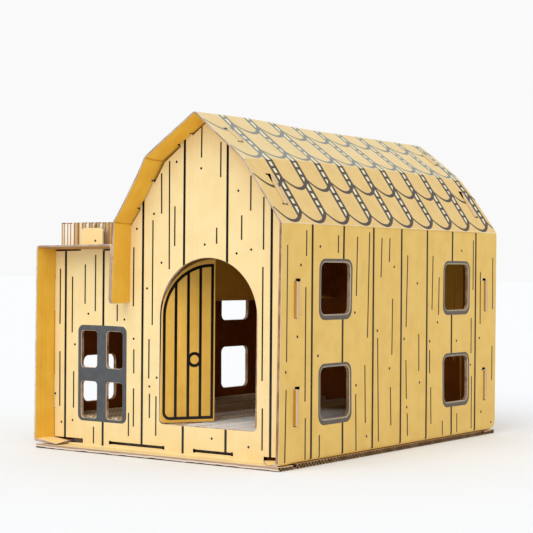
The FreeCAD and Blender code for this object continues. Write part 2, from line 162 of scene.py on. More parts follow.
# Bends of the worn sheets: the middle of each, how far it reaches, and its shift across and up
BENDS = (
    ((RIDGE_X + UPPER_RUN, FRONT, KNEE_Z), (50, 120, 45), (1.0, -4.2)),
    ((RIDGE_X, FRONT, RIDGE_Z), (60, 350, 50), (0.8, 2.6)),
    ((RIDGE_X, FRONT + 130, RIDGE_Z), (70, 150, 50), (0.0, 2.4)),
    ((RIDGE_X - UPPER_RUN / 2, FRONT, (KNEE_Z + RIDGE_Z) / 2), (55, 140, 45), (0.0, 4.0)),
    ((RIDGE_X - UPPER_RUN, FRONT, KNEE_Z), (60, 160, 60), (-3.2, 3.6)),
    ((SHORT_WALL, FRONT, EAVE_Z), (55, 60, 45), (1.2, 0.0)),
    ((SHORT_WALL, FRONT, EAVE_Z), (55, 160, 60), (0.0, 3.1)),
    ((SHORT_WALL, FRONT, SHORT_WALL_FOOT), (45, 60, 110), (-2.6, -1.8)),
    ((LEFT + 70, FRONT, WING_TOP), (130, 160, 60), (0.0, 2.4)),
    ((LEFT, FRONT, SEAT), (40, 50, 40), (0.0, 2.0)),
    ((LEFT, 20, 150), (70, 600, 320), (-3.6, 0.0)),
    ((LEFT, FRONT, 120), (40, 44, 280), (-5.4, 0.0)),
    ((RIGHT, FRONT, 290), (50, 30, 100), (2.8, 0.0)),
    ((RIGHT, FRONT, 120), (50, 30, 130), (1.5, 0.0)),
    ((RIGHT, FRONT, SEAT), (60, 60, 40), (0.0, -1.0)),
    ((RIGHT, -10, 165), (60, 280, 190), (-3.2, 0.0)),
    ((RIGHT, BACK, 160), (60, 80, 400), (3.0, 0.0)),
    ((RIDGE_X + UPPER_RUN, BACK, KNEE_Z), (36, 150, 36), (-2.6, -2.8)),
    ((RIDGE_X, BACK, RIDGE_Z), (70, 220, 50), (0.0, -0.4)),
)


def bent(across, y, up, share_x=1.0, share_z=1.0):
    """Where the bends take a point of a sheet."""
    shift_x, shift_z = 0.0, 0.0
    for middle, reach, shift in BENDS:
        weight = 1.0
        for place, centre, size in zip((across, y, up), middle, reach):
            weight *= 1 - smooth(abs(place - centre) / size)
        shift_x += weight * share_x * shift[0]
        shift_z += weight * share_z * shift[1]
    return Vector((across + shift_x, y, up + shift_z))


def ripple(place, size, seed):
    """A smooth wander between about -1 and 1."""
    return 1.6 * noise.noise(Vector((place / size, seed, 0.37)))


def rim_share(y):
    """0 at the panels, 1 at the free edges of the shells."""
    return max(0.0, (abs(y) - (BACK - RECESS)) / RECESS)


CRUSH, WALL_CRUSH, CRUSH_REACH = 0.55, 0.1, 14


def crushed(y, most=CRUSH):
    """The share of the board's thickness that is left near a free edge."""
    return 1 - most * smooth((abs(y) - (BACK - CRUSH_REACH)) / CRUSH_REACH)


# Outlines on a blank

def arc(centre, radius, start, end, steps):
    """Points of an arc between two angles in degrees."""
    angles = [math.radians(start + (end - start) * step / steps) for step in range(steps + 1)]
    return [(centre[0] + radius * math.cos(a), centre[1] + radius * math.sin(a)) for a in angles]


def rounded_box(left, right, low, high, corner, steps=6):
    return [
        *arc((right - corner, low + corner), corner, -90, 0, steps),
        *arc((right - corner, high - corner), corner, 0, 90, steps),
        *arc((left + corner, high - corner), corner, 90, 180, steps),
        *arc((left + corner, low + corner), corner, 180, 270, steps),
    ]


def box(left, right, low, high):
    return [(left, low), (right, low), (right, high), (left, high)]


def dot(centre, radius):
    return arc(centre, radius, 0, 324, 9)


def ribbon(points, widths):
    """A stroke along points, with a width at each."""
    left, right = [], []
    for number, (point, width) in enumerate(zip(points, widths)):
        before = Vector(points[max(number - 1, 0)])
        after = Vector(points[min(number + 1, len(points) - 1)])
        along = (after - before).normalized()
        side = Vector((-along.y, along.x)) * width / 2
        left.append(tuple(Vector(point) + side))
        right.append(tuple(Vector(point) - side))
    return left + right[::-1]


def turned(loop):
    """The loop anticlockwise."""
    area = sum(a[0] * b[1] - b[0] * a[1] for a, b in zip(loop, loop[1:] + loop[:1]))
    return loop if area > 0 else loop[::-1]


# Folding

FOLD_SLACK = 0.6


class Fold:
    """The section of a folded sheet: its printed face as a polyline, and the board to one side of it."""

    def __init__(self, corners, thickness, side, softness=3.0):
        self.corners = [Vector(corner) for corner in corners]
        self.thickness = thickness
        self.ways = [(b - a).normalized() for a, b in zip(self.corners, self.corners[1:])]
        self.normals = [Vector((-way.y, way.x)) * side for way in self.ways]
        self.starts = [0.0]
        for a, b in zip(self.corners, self.corners[1:]):
            self.starts.append(self.starts[-1] + (b - a).length)
        self.reach = [0.0]
        for before, after in zip(self.ways, self.ways[1:]):
            squeezed = before.cross(after) * side > 0
            least = thickness * math.tan(before.angle(after) / 2) + FOLD_SLACK if squeezed else 0.0
            self.reach.append(max(softness, least))
        self.reach.append(0.0)

    def at(self, along, depth):
        """The point that far along the printed face and that deep in the board."""
        for k in range(1, len(self.ways)):
            share = (along - self.starts[k]) / (2 * self.reach[k]) + 0.5
            if 0 <= share <= 1:
                return self.corner_point(k, share, depth)
        k = sum(1 for start in self.starts[1:-1] if start < along)
        return self.corners[k] + self.ways[k] * (along - self.starts[k]) + self.normals[k] * depth

    def corner_point(self, k, share, depth):
        faces = []
        for d in (0, self.thickness):
            first = self.corners[k] - self.ways[k - 1] * self.reach[k] + self.normals[k - 1] * d
            last = self.corners[k] + self.ways[k] * self.reach[k] + self.normals[k] * d
            both = self.normals[k - 1] + self.normals[k]
            middle = self.corners[k] + both * d / (1 + self.normals[k - 1].dot(self.normals[k]))
            faces.append(first * (1 - share) ** 2 + middle * 2 * share * (1 - share) + last * share ** 2)
        return faces[0].lerp(faces[1], depth / self.thickness)

    def creases(self):
        """Where the blank needs lines to bend round the folds."""
        lines = []
        for k in range(1, len(self.ways)):
            lines += [self.starts[k] + self.reach[k] * share for share in CREASE_SHARES]
        return lines


CREASE_SHARES = (-1, -0.66, -0.33, 0, 0.33, 0.66, 1)
CDT_EPSILON = 1e-4
EDGE_SOFT, EDGE_SHARPEST = 0.4, 0.4
SHARP_ANGLE = 32
SMALL_STEP = 0.01
GRID = 24


# A blank cut into triangles, and the board made from it

def cut_blank(solids, holes, inks, lines):
    """Points of the blank, and its triangles, each with its ink's name or None."""
    loops = [turned(list(loop)) for loop in [*solids, *holes, *(loop for name, loop in inks)]]
    points, faces = [], []
    for loop in loops:
        faces.append(list(range(len(points), len(points) + len(loop))))
        points += [Vector(point) for point in loop]
    corners = [point for loop in solids for point in loop]
    low = Vector((min(p[0] for p in corners), min(p[1] for p in corners)))
    high = Vector((max(p[0] for p in corners), max(p[1] for p in corners)))
    edges = []
    for axis, place in lines:
        ends = [Vector((place, low.y - 1)), Vector((place, high.y + 1))]
        if axis == 1:
            ends = [Vector((low.x - 1, place)), Vector((high.x + 1, place))]
        edges.append((len(points), len(points) + 1))
        points += ends
    across = max(2, round((high.x - low.x) / GRID))
    up = max(2, round((high.y - low.y) / GRID))
    for i in range(1, across):
        for j in range(1, up):
            points.append(low + Vector(((high.x - low.x) * i / across, (high.y - low.y) * j / up)))
    result = delaunay_2d_cdt(points, edges, faces, 0, CDT_EPSILON)
    found, triangles, origins = result[0], result[2], result[5]
    first_hole, first_ink = len(solids), len(solids) + len(holes)
    kept = []
    for triangle, origin in zip(triangles, origins):
        if not any(number < first_hole for number in origin):
            continue
        if any(first_hole <= number < first_ink for number in origin):
            continue
        ink = max((number for number in origin if number >= first_ink), default=None)
        kept.append((tuple(triangle), None if ink is None else inks[ink - first_ink][0]))
    return found, kept


def rim_of(kept):
    """Directed edges of the blank's rim, with the board to their left."""
    directed = {(t[i], t[(i + 1) % 3]) for t, ink in kept for i in range(3)}
    return [(a, b) for a, b in directed if (b, a) not in directed]


def add_piece(name, verts, polygons, kinds):
    """An object in metres, with the material that kinds names for each polygon."""
    mesh = bpy.data.meshes.new(name)
    mesh.from_pydata(verts, [], polygons)
    slots = list(dict.fromkeys(kinds))
    for material in slots:
        mesh.materials.append(bpy.data.materials[material])
    mesh.polygons.foreach_set("material_index", [slots.index(kind) for kind in kinds])
    piece = bpy.data.objects.new(name, mesh)
    bpy.context.scene.collection.objects.link(piece)
    return piece


def make_board(name, blank, place, thickness, materials, grain, back_shift=None, edge_at=None, back_at=None):
    """A board from a cut blank. place(u, v, depth) is a point of it, and grain(u, v) how far that is across
    the flutes. materials names the printed face, the back, the raw edge, the cut liner and each ink.
    back_shift(u, v) moves the back's rim. edge_at(u, v) and back_at(u, v) name another raw edge or back."""
    points, kept = blank
    rim = rim_of(kept)
    inwards = {}
    for a, b in rim:
        way = (points[b] - points[a]).normalized()
        for corner in (a, b):
            inwards.setdefault(corner, []).append(Vector((-way.y, way.x)))
    used = sorted({corner for triangle, ink in kept for corner in triangle})
    verts, facts, index = [], [], {}

    def add(layer, corner, u, v, depth):
        index[layer, corner] = len(verts)
        verts.append(place(u, v, depth) * MM)
        facts.append((grain(u, v) * MM, (u + v - grain(u, v)) * MM, depth / thickness))

    for corner in used:
        u, v = points[corner]
        shift = Vector((0, 0))
        if corner in inwards:
            first, last = inwards[corner][0], inwards[corner][-1]
            shift = (first + last) * EDGE_SOFT / max(1 + first.dot(last), EDGE_SHARPEST)
            add("outer", corner, u, v, EDGE_SOFT)
        add("front", corner, u + shift.x, v + shift.y, 0)
        extra = back_shift(u, v) if back_shift and corner in inwards else 0.0
        if corner in inwards:
            add("inner", corner, u + extra * (1 - EDGE_SOFT / thickness), v, thickness - EDGE_SOFT)
        add("back", corner, u + shift.x + extra, v + shift.y, thickness)

    polygons, kinds = [], []
    for triangle, ink in kept:
        middle = sum((points[corner] for corner in triangle), Vector((0, 0))) / 3
        polygons.append([index["front", corner] for corner in triangle])
        kinds.append(materials[ink or "front"])
        polygons.append([index["back", corner] for corner in reversed(triangle)])
        kinds.append(materials[back_at(*middle) if back_at else "back"])
    faces_only = len(polygons)
    for a, b in rim:
        cut = edge_at(*((points[a] + points[b]) / 2)) if edge_at else "edge"
        # Slots keep their painted shadow on the soft corners too
        soft = cut if cut == "slot" else "liner"
        for over, under, kind in (("front", "outer", soft), ("outer", "inner", cut), ("inner", "back", soft)):
            polygons.append([index[over, b], index[over, a], index[under, a], index[under, b]])
            kinds.append(materials[kind])
    middle = points[kept[0][0][0]]
    here = place(middle.x, middle.y, 0)
    along_u = place(middle.x + SMALL_STEP, middle.y, 0) - here
    along_v = place(middle.x, middle.y + SMALL_STEP, 0) - here
    inside = place(middle.x, middle.y, SMALL_STEP) - here
    if along_u.cross(along_v).dot(inside) > 0:
        polygons = [polygon[::-1] for polygon in polygons]

    piece = add_piece(name, verts, polygons, kinds)
    mesh = piece.data
    mesh.polygons.foreach_set("use_smooth", [True] * len(polygons))
    uv = mesh.uv_layers.new(name="board")
    for polygon in mesh.polygons:
        on_face = polygon.index < faces_only
        for loop in polygon.loop_indices:
            across, along, depth = facts[mesh.loops[loop].vertex_index]
            uv.data[loop].uv = (across, along if on_face else depth)
    mesh.set_sharp_from_angle(angle=math.radians(SHARP_ANGLE))
    mesh.validate()
    return piece


def fit(piece, body, slot, *nodes):
    """Sets the body that a piece rides on and hides the nodes that it stands for. The slot is not used."""
    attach(piece, body)
    if nodes:
        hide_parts(*nodes)
    return piece


# Materials

def srgb(text):
    """A linear colour from a hex colour."""
    values = [int(text[i:i + 2], 16) / 255 for i in (1, 3, 5)]
    return (*(v / 12.92 if v <= 0.04045 else ((v + 0.055) / 1.055) ** 2.4 for v in values), 1)


class Nodes:
    """Short calls for the nodes of a tree."""

    def __init__(self, tree):
        self.tree = tree

    def node(self, kind, inputs=(), **settings):
        node = self.tree.nodes.new(kind)
        for setting, value in settings.items():
            setattr(node, setting, value)
        for socket, value in inputs:
            self.feed(node.inputs[socket], value)
        return node

    def feed(self, socket, value):
        """Links an output to the socket, or sets a plain value on it."""
        if isinstance(value, bpy.types.NodeSocket):
            self.tree.links.new(value, socket)
        else:
            socket.default_value = value

    def math(self, operation, first, second=0.0, third=0.0):
        inputs = [(0, first), (1, second), (2, third)]
        return self.node("ShaderNodeMath", inputs, operation=operation).outputs[0]


class Finish(Nodes):
    """A material, with short calls for what these finishes use."""

    def __init__(self, name, roughness=0.6, shine=0.3):
        material = bpy.data.materials.new(name)
        material.use_nodes = True
        super().__init__(material.node_tree)
        self.shader = self.tree.nodes["Principled BSDF"]
        self.shader.inputs["Roughness"].default_value = roughness
        self.shader.inputs["Specular IOR Level"].default_value = shine

    def mix(self, share, first, second):
        inputs = [(0, share), (6, first), (7, second)]
        return self.node("ShaderNodeMix", inputs, data_type="RGBA").outputs[2]

    def noise(self, scale, detail=2.0, vector=None):
        inputs = [("Scale", scale), ("Detail", detail)]
        if vector is not None:
            inputs.append(("Vector", vector))
        return self.node("ShaderNodeTexNoise", inputs).outputs["Fac"]

    def place(self):
        return self.node("ShaderNodeTexCoord").outputs["Object"]

    def board(self):
        """Across the flutes in metres, and along them or through the board."""
        uv = self.node("ShaderNodeUVMap", uv_map="board").outputs["UV"]
        split = self.node("ShaderNodeSeparateXYZ", [("Vector", uv)])
        return split.outputs["X"], split.outputs["Y"]

    def ramp(self, value, low, high):
        """0 to 1 as the value goes from low to high."""
        inputs = [("Value", value), ("From Min", low), ("From Max", high)]
        return self.node("ShaderNodeMapRange", inputs, interpolation_type="SMOOTHSTEP").outputs["Result"]

    def colour(self, value):
        self.feed(self.shader.inputs["Base Color"], value)

    def band(self, value, middle, outside, inside):
        """1 close to the middle, and 0 farther from it than the outside distance."""
        off = self.math("ABSOLUTE", self.math("SUBTRACT", value, middle))
        return self.ramp(off, outside, inside)

    def total(self, *parts):
        """The sum of values, each times its share."""
        result = 0.0
        for share, value in parts:
            result = self.math("MULTIPLY_ADD", value, share, result)
        return result

    def streaks(self, fine, long):
        """Noise in streaks along the flutes."""
        across, along = self.board()
        parts = [("X", self.math("MULTIPLY", across, fine)), ("Y", self.math("MULTIPLY", along, long))]
        return self.noise(1, 2, self.node("ShaderNodeCombineXYZ", parts).outputs["Vector"])

    def flutes(self):
        across, along = self.board()
        return self.math("SINE", self.math("MULTIPLY", across, 2 * math.pi / FLUTE_PITCH))

    def bump(self, height, distance):
        node = self.node("ShaderNodeBump", [("Height", height), ("Distance", distance)])
        self.feed(self.shader.inputs["Normal"], node.outputs["Normal"])

    def rough(self, value):
        self.feed(self.shader.inputs["Roughness"], value)


FLUTE_PITCH = 0.0072


def printed(name, colour, deeper, roughness=0.55, shine=0.3):
    """Ink on a kraft liner: soft mottling, fibres, and the flutes showing faintly through."""
    finish = Finish(name, roughness, shine)
    place = finish.place()
    mottle = finish.ramp(finish.noise(38, 3, place), 0.35, 0.7)
    fibre = finish.noise(900, 2, place)
    flute = finish.flutes()
    share = finish.total((0.4, mottle), (0.2, fibre), (0.35, finish.streaks(160, 7)), (0.05, flute))
    finish.colour(finish.mix(share, srgb(colour), srgb(deeper)))
    finish.rough(finish.math("MULTIPLY_ADD", fibre, 0.2, roughness - 0.08))
    finish.bump(finish.total((0.5, flute), (0.6, fibre)), 0.00006)


def ink(name, colour, paler, cover=0.35, faded=None):
    """A printed line or area, slightly uneven where the liner's fibres show, and greyer near the floor."""
    finish = Finish(name, 0.6, 0.12)
    place = finish.place()
    speck = finish.ramp(finish.noise(1100, 3, place), 0.5, 0.8)
    share = finish.total((cover, speck), (cover, finish.noise(120, 2, place)))
    tone = finish.mix(share, srgb(colour), srgb(paler))
    if faded:
        height = finish.node("ShaderNodeSeparateXYZ", [("Vector", place)]).outputs["Z"]
        tone = finish.mix(finish.ramp(height, 0.2, 0.02), tone, srgb(faded))
    finish.colour(tone)
    finish.rough(finish.math("MULTIPLY_ADD", speck, 0.2, 0.45))
    finish.bump(finish.flutes(), 0.00003)


def cut_edge(name, paper, worn, hollow, plies, open_below):
    """A cut edge of the board: liners with waves of fluting between them, dark hollows of painted shade, and
    places crushed shut. A ply is its middle and half height as shares of the thickness, and its waves' pitch
    in metres."""
    finish = Finish(name, 0.85, 0.15)
    across, depth = finish.board()
    place = finish.place()
    depth = finish.total((1, depth), (0.16, finish.noise(420, 2, place)), (-0.08, 1.0))
    solid = 0.0
    for line in (0.02, 0.98, *(middle + half for middle, half, pitch in plies[:-1])):
        solid = finish.math("MAXIMUM", solid, finish.band(depth, line, 0.1, 0.05))
    for middle, half, pitch in plies:
        wave = finish.math("SINE", finish.math("MULTIPLY", across, 2 * math.pi / pitch))
        centre = finish.math("MULTIPLY_ADD", wave, half * 0.86, middle)
        solid = finish.math("MAXIMUM", solid, finish.band(depth, centre, 0.16, 0.07))
    shut = finish.ramp(finish.noise(90, 2, place), open_below - 0.04, open_below + 0.06)
    shown = finish.math("MAXIMUM", solid, shut)
    patch = finish.ramp(finish.noise(55, 3, place), 0.4, 0.62)
    finish.colour(finish.mix(shown, srgb(hollow), finish.mix(patch, srgb(paper), srgb(worn))))
    finish.bump(solid, 0.0009)


def layered_edge(name, upper, middle, lower):
    """The free edge of a panel's foot: a brown liner, a pale paper band that also paints a highlight, and
    below it a dark band of painted shade in the hollow and under the lifted edge.
    """
    finish = Finish(name, 0.85, 0.15)
    across, depth = finish.board()
    depth = finish.total((1, depth), (0.5, finish.noise(45, 3, finish.place())), (-0.25, 1.0))
    first = finish.mix(finish.ramp(depth, 0.4, 0.5), srgb(upper), srgb(middle))
    finish.colour(finish.mix(finish.ramp(depth, 0.68, 0.77), first, srgb(lower)))
    finish.bump(finish.noise(400, 2, finish.place()), 0.0004)


def plain_paper(name, colour, deeper, scale=200, roughness=0.8, shine=0.2, rear=None):
    """Unprinted kraft paper, with painted shade browning it toward the rear of the room where a rear tone is
    given.
    """
    finish = Finish(name, roughness, shine)
    place = finish.place()
    tone = finish.mix(finish.noise(scale, 4, place), srgb(colour), srgb(deeper))
    if rear:
        back = finish.node("ShaderNodeSeparateXYZ", [("Vector", place)]).outputs["Y"]
        tone = finish.mix(finish.ramp(back, REAR_SHADE_STARTS, REAR_SHADE_ENDS), tone, srgb(rear))
    finish.colour(tone)
    finish.bump(finish.noise(900, 2, place), 0.00008)


# Where the pads' painted shade toward the rear of the room starts, and where it is full, in metres along the
# house
REAR_SHADE_STARTS, REAR_SHADE_ENDS = 0.04, 0.11
BOARD_PLIES = ((0.28, 0.26, 0.0072), (0.77, 0.21, 0.0056))
BASE_PLIES = ((0.5, 0.42, 0.0078),)

# One yellow print, given a tone for each face by how light falls on it, which is painted light: the front
# paler with a painted sheen, the long walls deeper, and the roof's upper slope lighter than its lower one as
# it faces up.
printed("print_front", "#f6dfa8", "#eed294")
printed("print_wall", "#f0ca72", "#e3b85c")
printed("print_roof_low", "#eccb88", "#dfbb74")
printed("print_roof_high", "#ecd4a0", "#e4c88c")
# A painted highlight where the eave fold rounds, with the print a little worn there.
printed("print_fold", "#f2dcae", "#ead09c")
# Painted shade: the door leaves take a darker, deeper copy of the front's print, as they turn away from the
# light.
printed("print_door", "#f6c860", "#e8b448")
# Painted shade: a darker ochre copy of the print for the tabs where they stand out of the walls.
printed("print_tab", "#d09a38", "#c08828")
# Painted light: the inner faces' print is a deeper orange copy of the outer print, for the warm light bounced
# between them.
printed("print_inside", "#f2c24c", "#e5ac38", roughness=0.7, shine=0.15)
# Painted light: the flaps' upper faces are a paler copy of the inner print, lit from above.
printed("print_flap", "#fde0a2", "#f4d28c")
# Painted shade: a darker copy of the inner print along the overhangs' inner folds.
printed("print_crease", "#dca030", "#c88c1c", roughness=0.7, shine=0.15)
# Painted shade under the wing's roof.
printed("print_shade", "#b58c54", "#a27a44", roughness=0.7, shine=0.15)
# Painted shade and light inside: the room's inner faces are a dark brown copy of the inner print, paler high
# up where light comes in.
printed("print_room", "#a35a1e", "#854612", roughness=0.75, shine=0.1)
printed("print_loft", "#e4ac40", "#d49a34", roughness=0.75, shine=0.1)
ink("ink_black", "#050303", "#1c1612", faded="#302e30")
ink("ink_wall", "#281c12", "#4c3a26")
ink("ink_frame", "#484a4d", "#6c7074", cover=0.5)
ink("ink_wall_frame", "#5f574e", "#7a7064", cover=0.4)
ink("ink_frame_pale", "#8f8577", "#a59a8a", cover=0.4)
# One ink for the roof's lines in two tones by how light falls: darker with painted shade on the lower slopes,
# and paler grey with a painted sheen on the upper slopes.
ink("ink_roof_low", "#4c423c", "#6a6058")
ink("ink_roof_high", "#848882", "#9a9c94")
ink("ink_cell", "#f1e8c6", "#eadcae")
# A pale scuff, worn print that is partly a painted highlight.
ink("ink_scuff", "#fbf6ee", "#efe4d4")
cut_edge("edge_rim", "#d6c0b4", "#b89e90", "#8a6c5a", BOARD_PLIES, 0.34)
cut_edge("edge_pale", "#f2e8e0", "#dccabe", "#b89c88", BOARD_PLIES, 0.34)
cut_edge("edge_wall", "#b8926c", "#98724e", "#5a3a22", BOARD_PLIES, 0.38)
cut_edge("edge_jamb", "#c0a284", "#94724e", "#62442c", BOARD_PLIES, 0.42)
cut_edge("edge_board", "#ddc0a0", "#a87c58", "#5a3820", BOARD_PLIES, 0.42)
cut_edge("edge_open", "#efe6da", "#c8b49c", "#15100c", BOARD_PLIES, 1.0)
cut_edge("edge_base", "#d0ae80", "#a98456", "#3a2412", BASE_PLIES, 1.0)
layered_edge("edge_foot", "#b09278", "#e6d8ca", "#34190a")
plain_paper("cut_liner", "#f2e2c4", "#d8c09a")
# Painted shadow: near-black cut edges in the slots and slits, where the gaps behind them are in shade.
plain_paper("cut_dark", "#0e0703", "#060301", roughness=0.9, shine=0.02)
plain_paper("cut_tab", "#dcc4ac", "#c4a78c")
plain_paper("kraft", "#b98f5e", "#a77c4c")
# Papers of the scratch pads; the white papers and the skins turn browner toward the rear of the room, which
# is painted shade.
for strip, paper, deeper_paper, rear_shade_paper in (
    ("strip_pale", "#fbf6ee", "#ece4d8", None),
    ("strip_white", "#f6f8fa", "#e8e9ea", "#8c7238"),
    ("strip_skin", "#fbf6ee", "#ece4d8", "#9c8450"),
    ("strip_cream", "#f3e6cc", "#e2cfac", None),
    ("strip_tan", "#d8bb8e", "#bf9e70", None),
    ("strip_brown", "#a8804a", "#8c6534", None),
):
    plain_paper(strip, paper, deeper_paper, scale=120, roughness=0.85, rear=rear_shade_paper)

# What the folded sheets are made of. Most of the print's tones are painted light and shade, as are the fold's
# highlight and the slots' black edges.
SHEET = {
    "front": "print_wall", "back": "print_inside", "flap": "print_flap", "room": "print_room",
    "loft": "print_loft", "crease": "print_crease", "shade": "print_shade", "fold": "print_fold",
    "edge": "edge_rim", "jamb": "edge_jamb", "wall_rim": "edge_wall", "liner": "cut_liner",
    "slot": "cut_dark", "black": "ink_black", "line": "ink_wall", "frame": "ink_wall_frame",
    "frame_pale": "ink_frame_pale", "low": "ink_roof_low", "high": "ink_roof_high", "cell": "ink_cell",
    "scuff": "ink_scuff",
}


# Printed patterns

THICK, THIN, DOT = 4.0, 2.4, 1.8
WALL_SCALE, BACK_SCALE = 1.15, 0.9
GRAIN_CLEAR, GRAIN_LEAST, KNOT_CLEAR = 8, 30, 10


def mapped(to_blank, loop):
    """The loop, taken to the blank."""
    return [to_blank(*point) for point in loop]


def plank_print(ink_name, thick, thin, dots, to_blank, low, high, scale=1.0):
    """Plank seams from low to high, and short grain lines and knots. A line is (across, low, high)."""
    seam, line = THICK * scale / 2, THIN * scale / 2
    loops = [box(across - seam, across + seam, low, high) for across in thick]
    loops += [box(across - line, across + line, start, end) for across, start, end in thin]
    loops += [dot(place, DOT * scale) for place in dots]
    return [(ink_name, mapped(to_blank, loop)) for loop in loops]


# Long wall: distances from the front edge, and heights
WALL_SEAMS = (75, 153, 231, 309, 384.5, 463, 539)
WALL_GRAIN = (
    (15, 141, 293), (14, 11, 105), (61, 279, 313), (60, 87, 238), (61, 10, 65), (139, 284, 308),
    (188, 225, 307), (188, 10, 89), (220, 166, 315), (213, 47, 128), (254, 251, 307), (276, 273, 307),
    (95, 8, 40), (248, 18, 165), (288, 139, 220), (283, 38, 93), (328, 178, 283), (328, 73, 130),
    (330, 19, 52), (403, 202, 283), (423, 194, 251), (365, 112, 167), (397, 107, 142), (400, 31, 86),
    (435, 11, 33), (531, 231, 309), (554, 177, 259), (526, 132, 187), (528, 14, 96), (481, 12, 41),
    (593, 200, 282), (592, 86, 141),
)
WALL_KNOTS = (
    (48, 267), (94, 292), (290, 266), (185, 202), (41, 173), (91, 146), (13, 128), (247, 175), (189, 101),
    (281, 120), (216, 28), (358, 242), (420, 183), (493, 292), (323, 161), (397, 155), (479, 153), (552, 155),
    (367, 95), (329, 61), (559, 38), (592, 19), (524, 114),
)

# Front: across the house, and heights
FRONT_SEAMS = (-189.2, -116.4, -44, 29.5, 103, 176.6)
FRONT_GRAIN = (
    (-199.7, 179, 259), (-199.4, 59, 139), (-176, 167, 248), (-172.6, 58, 111), (-151.6, 209, 265),
    (-131.8, 199, 278), (-90.1, 186, 210), (-60.6, 208, 289), (-59.2, 113, 147), (-59.3, 38, 92),
    (-68.2, 24, 57), (-26.4, 182, 328), (-31.9, 107, 162), (-30.3, 52, 86), (-18.5, 28, 83),
    (3.3, 260, 407), (-10.9, 337, 391), (12.7, 292, 347), (58.4, 412, 460), (91.4, 385, 432),
    (141.9, 339, 387), (127.2, 300, 333), (85.3, 295, 317), (163.4, 287, 357), (162.7, 113, 264),
    (163.5, 21, 77), (-133.8, 9, 33),
)
FRONT_KNOTS = (
    (15.5, 406), (58, 398), (-24.7, 337), (-55.6, 314), (65.1, 294), (143.2, 287), (119, 282), (-10.6, 269),
    (121.1, 366), (-36.2, 233), (-76.8, 189), (-145.1, 195), (-170.6, 150), (-59.6, 162), (-17.4, 109),
    (-30.7, 96), (-208.1, 77), (-196.3, 36), (-174.3, 40), (79.6, 31), (141.3, 24), (-132.8, 298),
)
# The back has more lines where the front has its openings
BACK_GRAIN = (
    *FRONT_GRAIN, (20, 60, 170), (55, 35, 120), (78, 140, 250), (118, 50, 160), (136, 200, 262),
    (-101, 60, 150), (-148, 60, 130), (45, 190, 255),
)

# Roof: ladders from the ridge to the eave, and a row of tile ends above each of the rows
STRIP_FIRST, STRIP_PITCH, STRIP_COUNT = 57.3, 59, 10
LADDERS = {"lower": (17, 5.5), "upper": (16.4, 5.2)}
RUNG = 4.4
LOWER_ROWS, UPPER_ROWS = (50, 105), (39.5, 97)
LOWER_RUNGS, UPPER_RUNGS = (2, 14, 26.5, 54, 66, 78), (10, 47, 58.5, 71)
TILE_RISE = 17.5
TILE_START, TILE_END, TILE_SWELL = 3.4, 6.0, 0.8
TILE_STEPS = 20


def tile_end(left, row):
    """The rounded lower end of one tile, from one ladder's right rail to the next one's."""
    half = STRIP_PITCH / 2
    points, widths = [], []
    for step in range(-1, TILE_STEPS + 1):
        share = 2 * step / TILE_STEPS - 1
        points.append((left + half * (share + 1), row - TILE_RISE * share ** 2 - 0.5))
        widths.append(TILE_START + (TILE_END - TILE_START) * max(0, step / TILE_STEPS) ** TILE_SWELL)
    return ribbon(points, widths)


def roof_print(stretch, to_blank):
    """The pattern of one slope. to_blank takes a distance from the front edge, and one down the slope."""
    upper = stretch == "upper"
    name, rows, rungs = ("high", UPPER_ROWS, UPPER_RUNGS) if upper else ("low", LOWER_ROWS, LOWER_RUNGS)
    width, rail_width = LADDERS[stretch]
    half, rail = width / 2, width / 2 - rail_width
    last = rows[-1]
    length = UPPER_LENGTH if upper else last - TILE_RISE
    shapes = []
    places = [STRIP_FIRST + STRIP_PITCH * k for k in range(-1, STRIP_COUNT + 1)]
    for place in places[1:-1]:
        shapes.append((name, box(place - half, place + half, -1, length)))
        if not upper:
            shapes.append((name, box(place - half, place - rail, length - 1, last - 5)))
        for top, low in zip([-1, *rungs], rungs):
            shapes.append(("cell", box(place - rail, place + rail, top + RUNG / 2, low - RUNG / 2)))
        left_end, right_end = (length + 1, length + 1) if upper else (last - 8, last - TILE_RISE - 1)
        shapes.append(("cell", [
            (place - rail, rungs[-1] + RUNG / 2), (place + rail, rungs[-1] + RUNG / 2),
            (place + rail, right_end), (place - rail, left_end),
        ]))
    for row in rows:
        for place in places[:-1]:
            shapes.append((name, tile_end(place + half - rail_width / 2, row)))
    return [(ink_name, mapped(to_blank, loop)) for ink_name, loop in shapes]


# Shells

def windows(lows_and_highs, grow=0, below=0, above=0, corner=WINDOW_CORNER):
    """The outlines of a long wall's windows, or of frames that reach past them."""
    loops = []
    for middle in WINDOW_PLACES:
        near, far = middle - WINDOW_WIDTH / 2 - grow, middle + WINDOW_WIDTH / 2 + grow
        loops += [rounded_box(near, far, low - below, high + above, corner) for low, high in lows_and_highs]
    return loops


def wall_holes(to_blank, lows_and_highs):
    """Windows, and slots for the panels' tabs, in a long wall."""
    slots = [slot_cut(side, low, high, 0) for side in (-1, 1) for low, high in WALL_SLOTS]
    return [mapped(to_blank, loop) for loop in windows(lows_and_highs) + slots]


def slot_cut(side, start, finish, tick):
    """A slot for a tab of the front panel (-1) or the back panel (1). In a wall it is wider above the tab.
    In the roof it has a short cut outwards at each end."""
    outer = side * (BACK - RECESS + SLOT_GAP)
    inner = side * (BACK - RECESS - BOARD - SLOT_GAP)
    tip = outer + side * tick
    if not tick:
        void = finish - VOID_HIGH
        near, far = side * VOID_NEAR, side * VOID_FAR
        return [
            (outer, start), (inner, start), (inner, void), (near, void), (near, finish), (far, finish),
            (far, void), (outer, void),
        ]
    return [
        (tip, start), (inner, start), (inner, finish), (tip, finish), (tip, finish - TICK_RISE),
        (outer, finish - TICK_RISE), (outer, start + TICK_RISE), (tip, start + TICK_RISE),
    ]


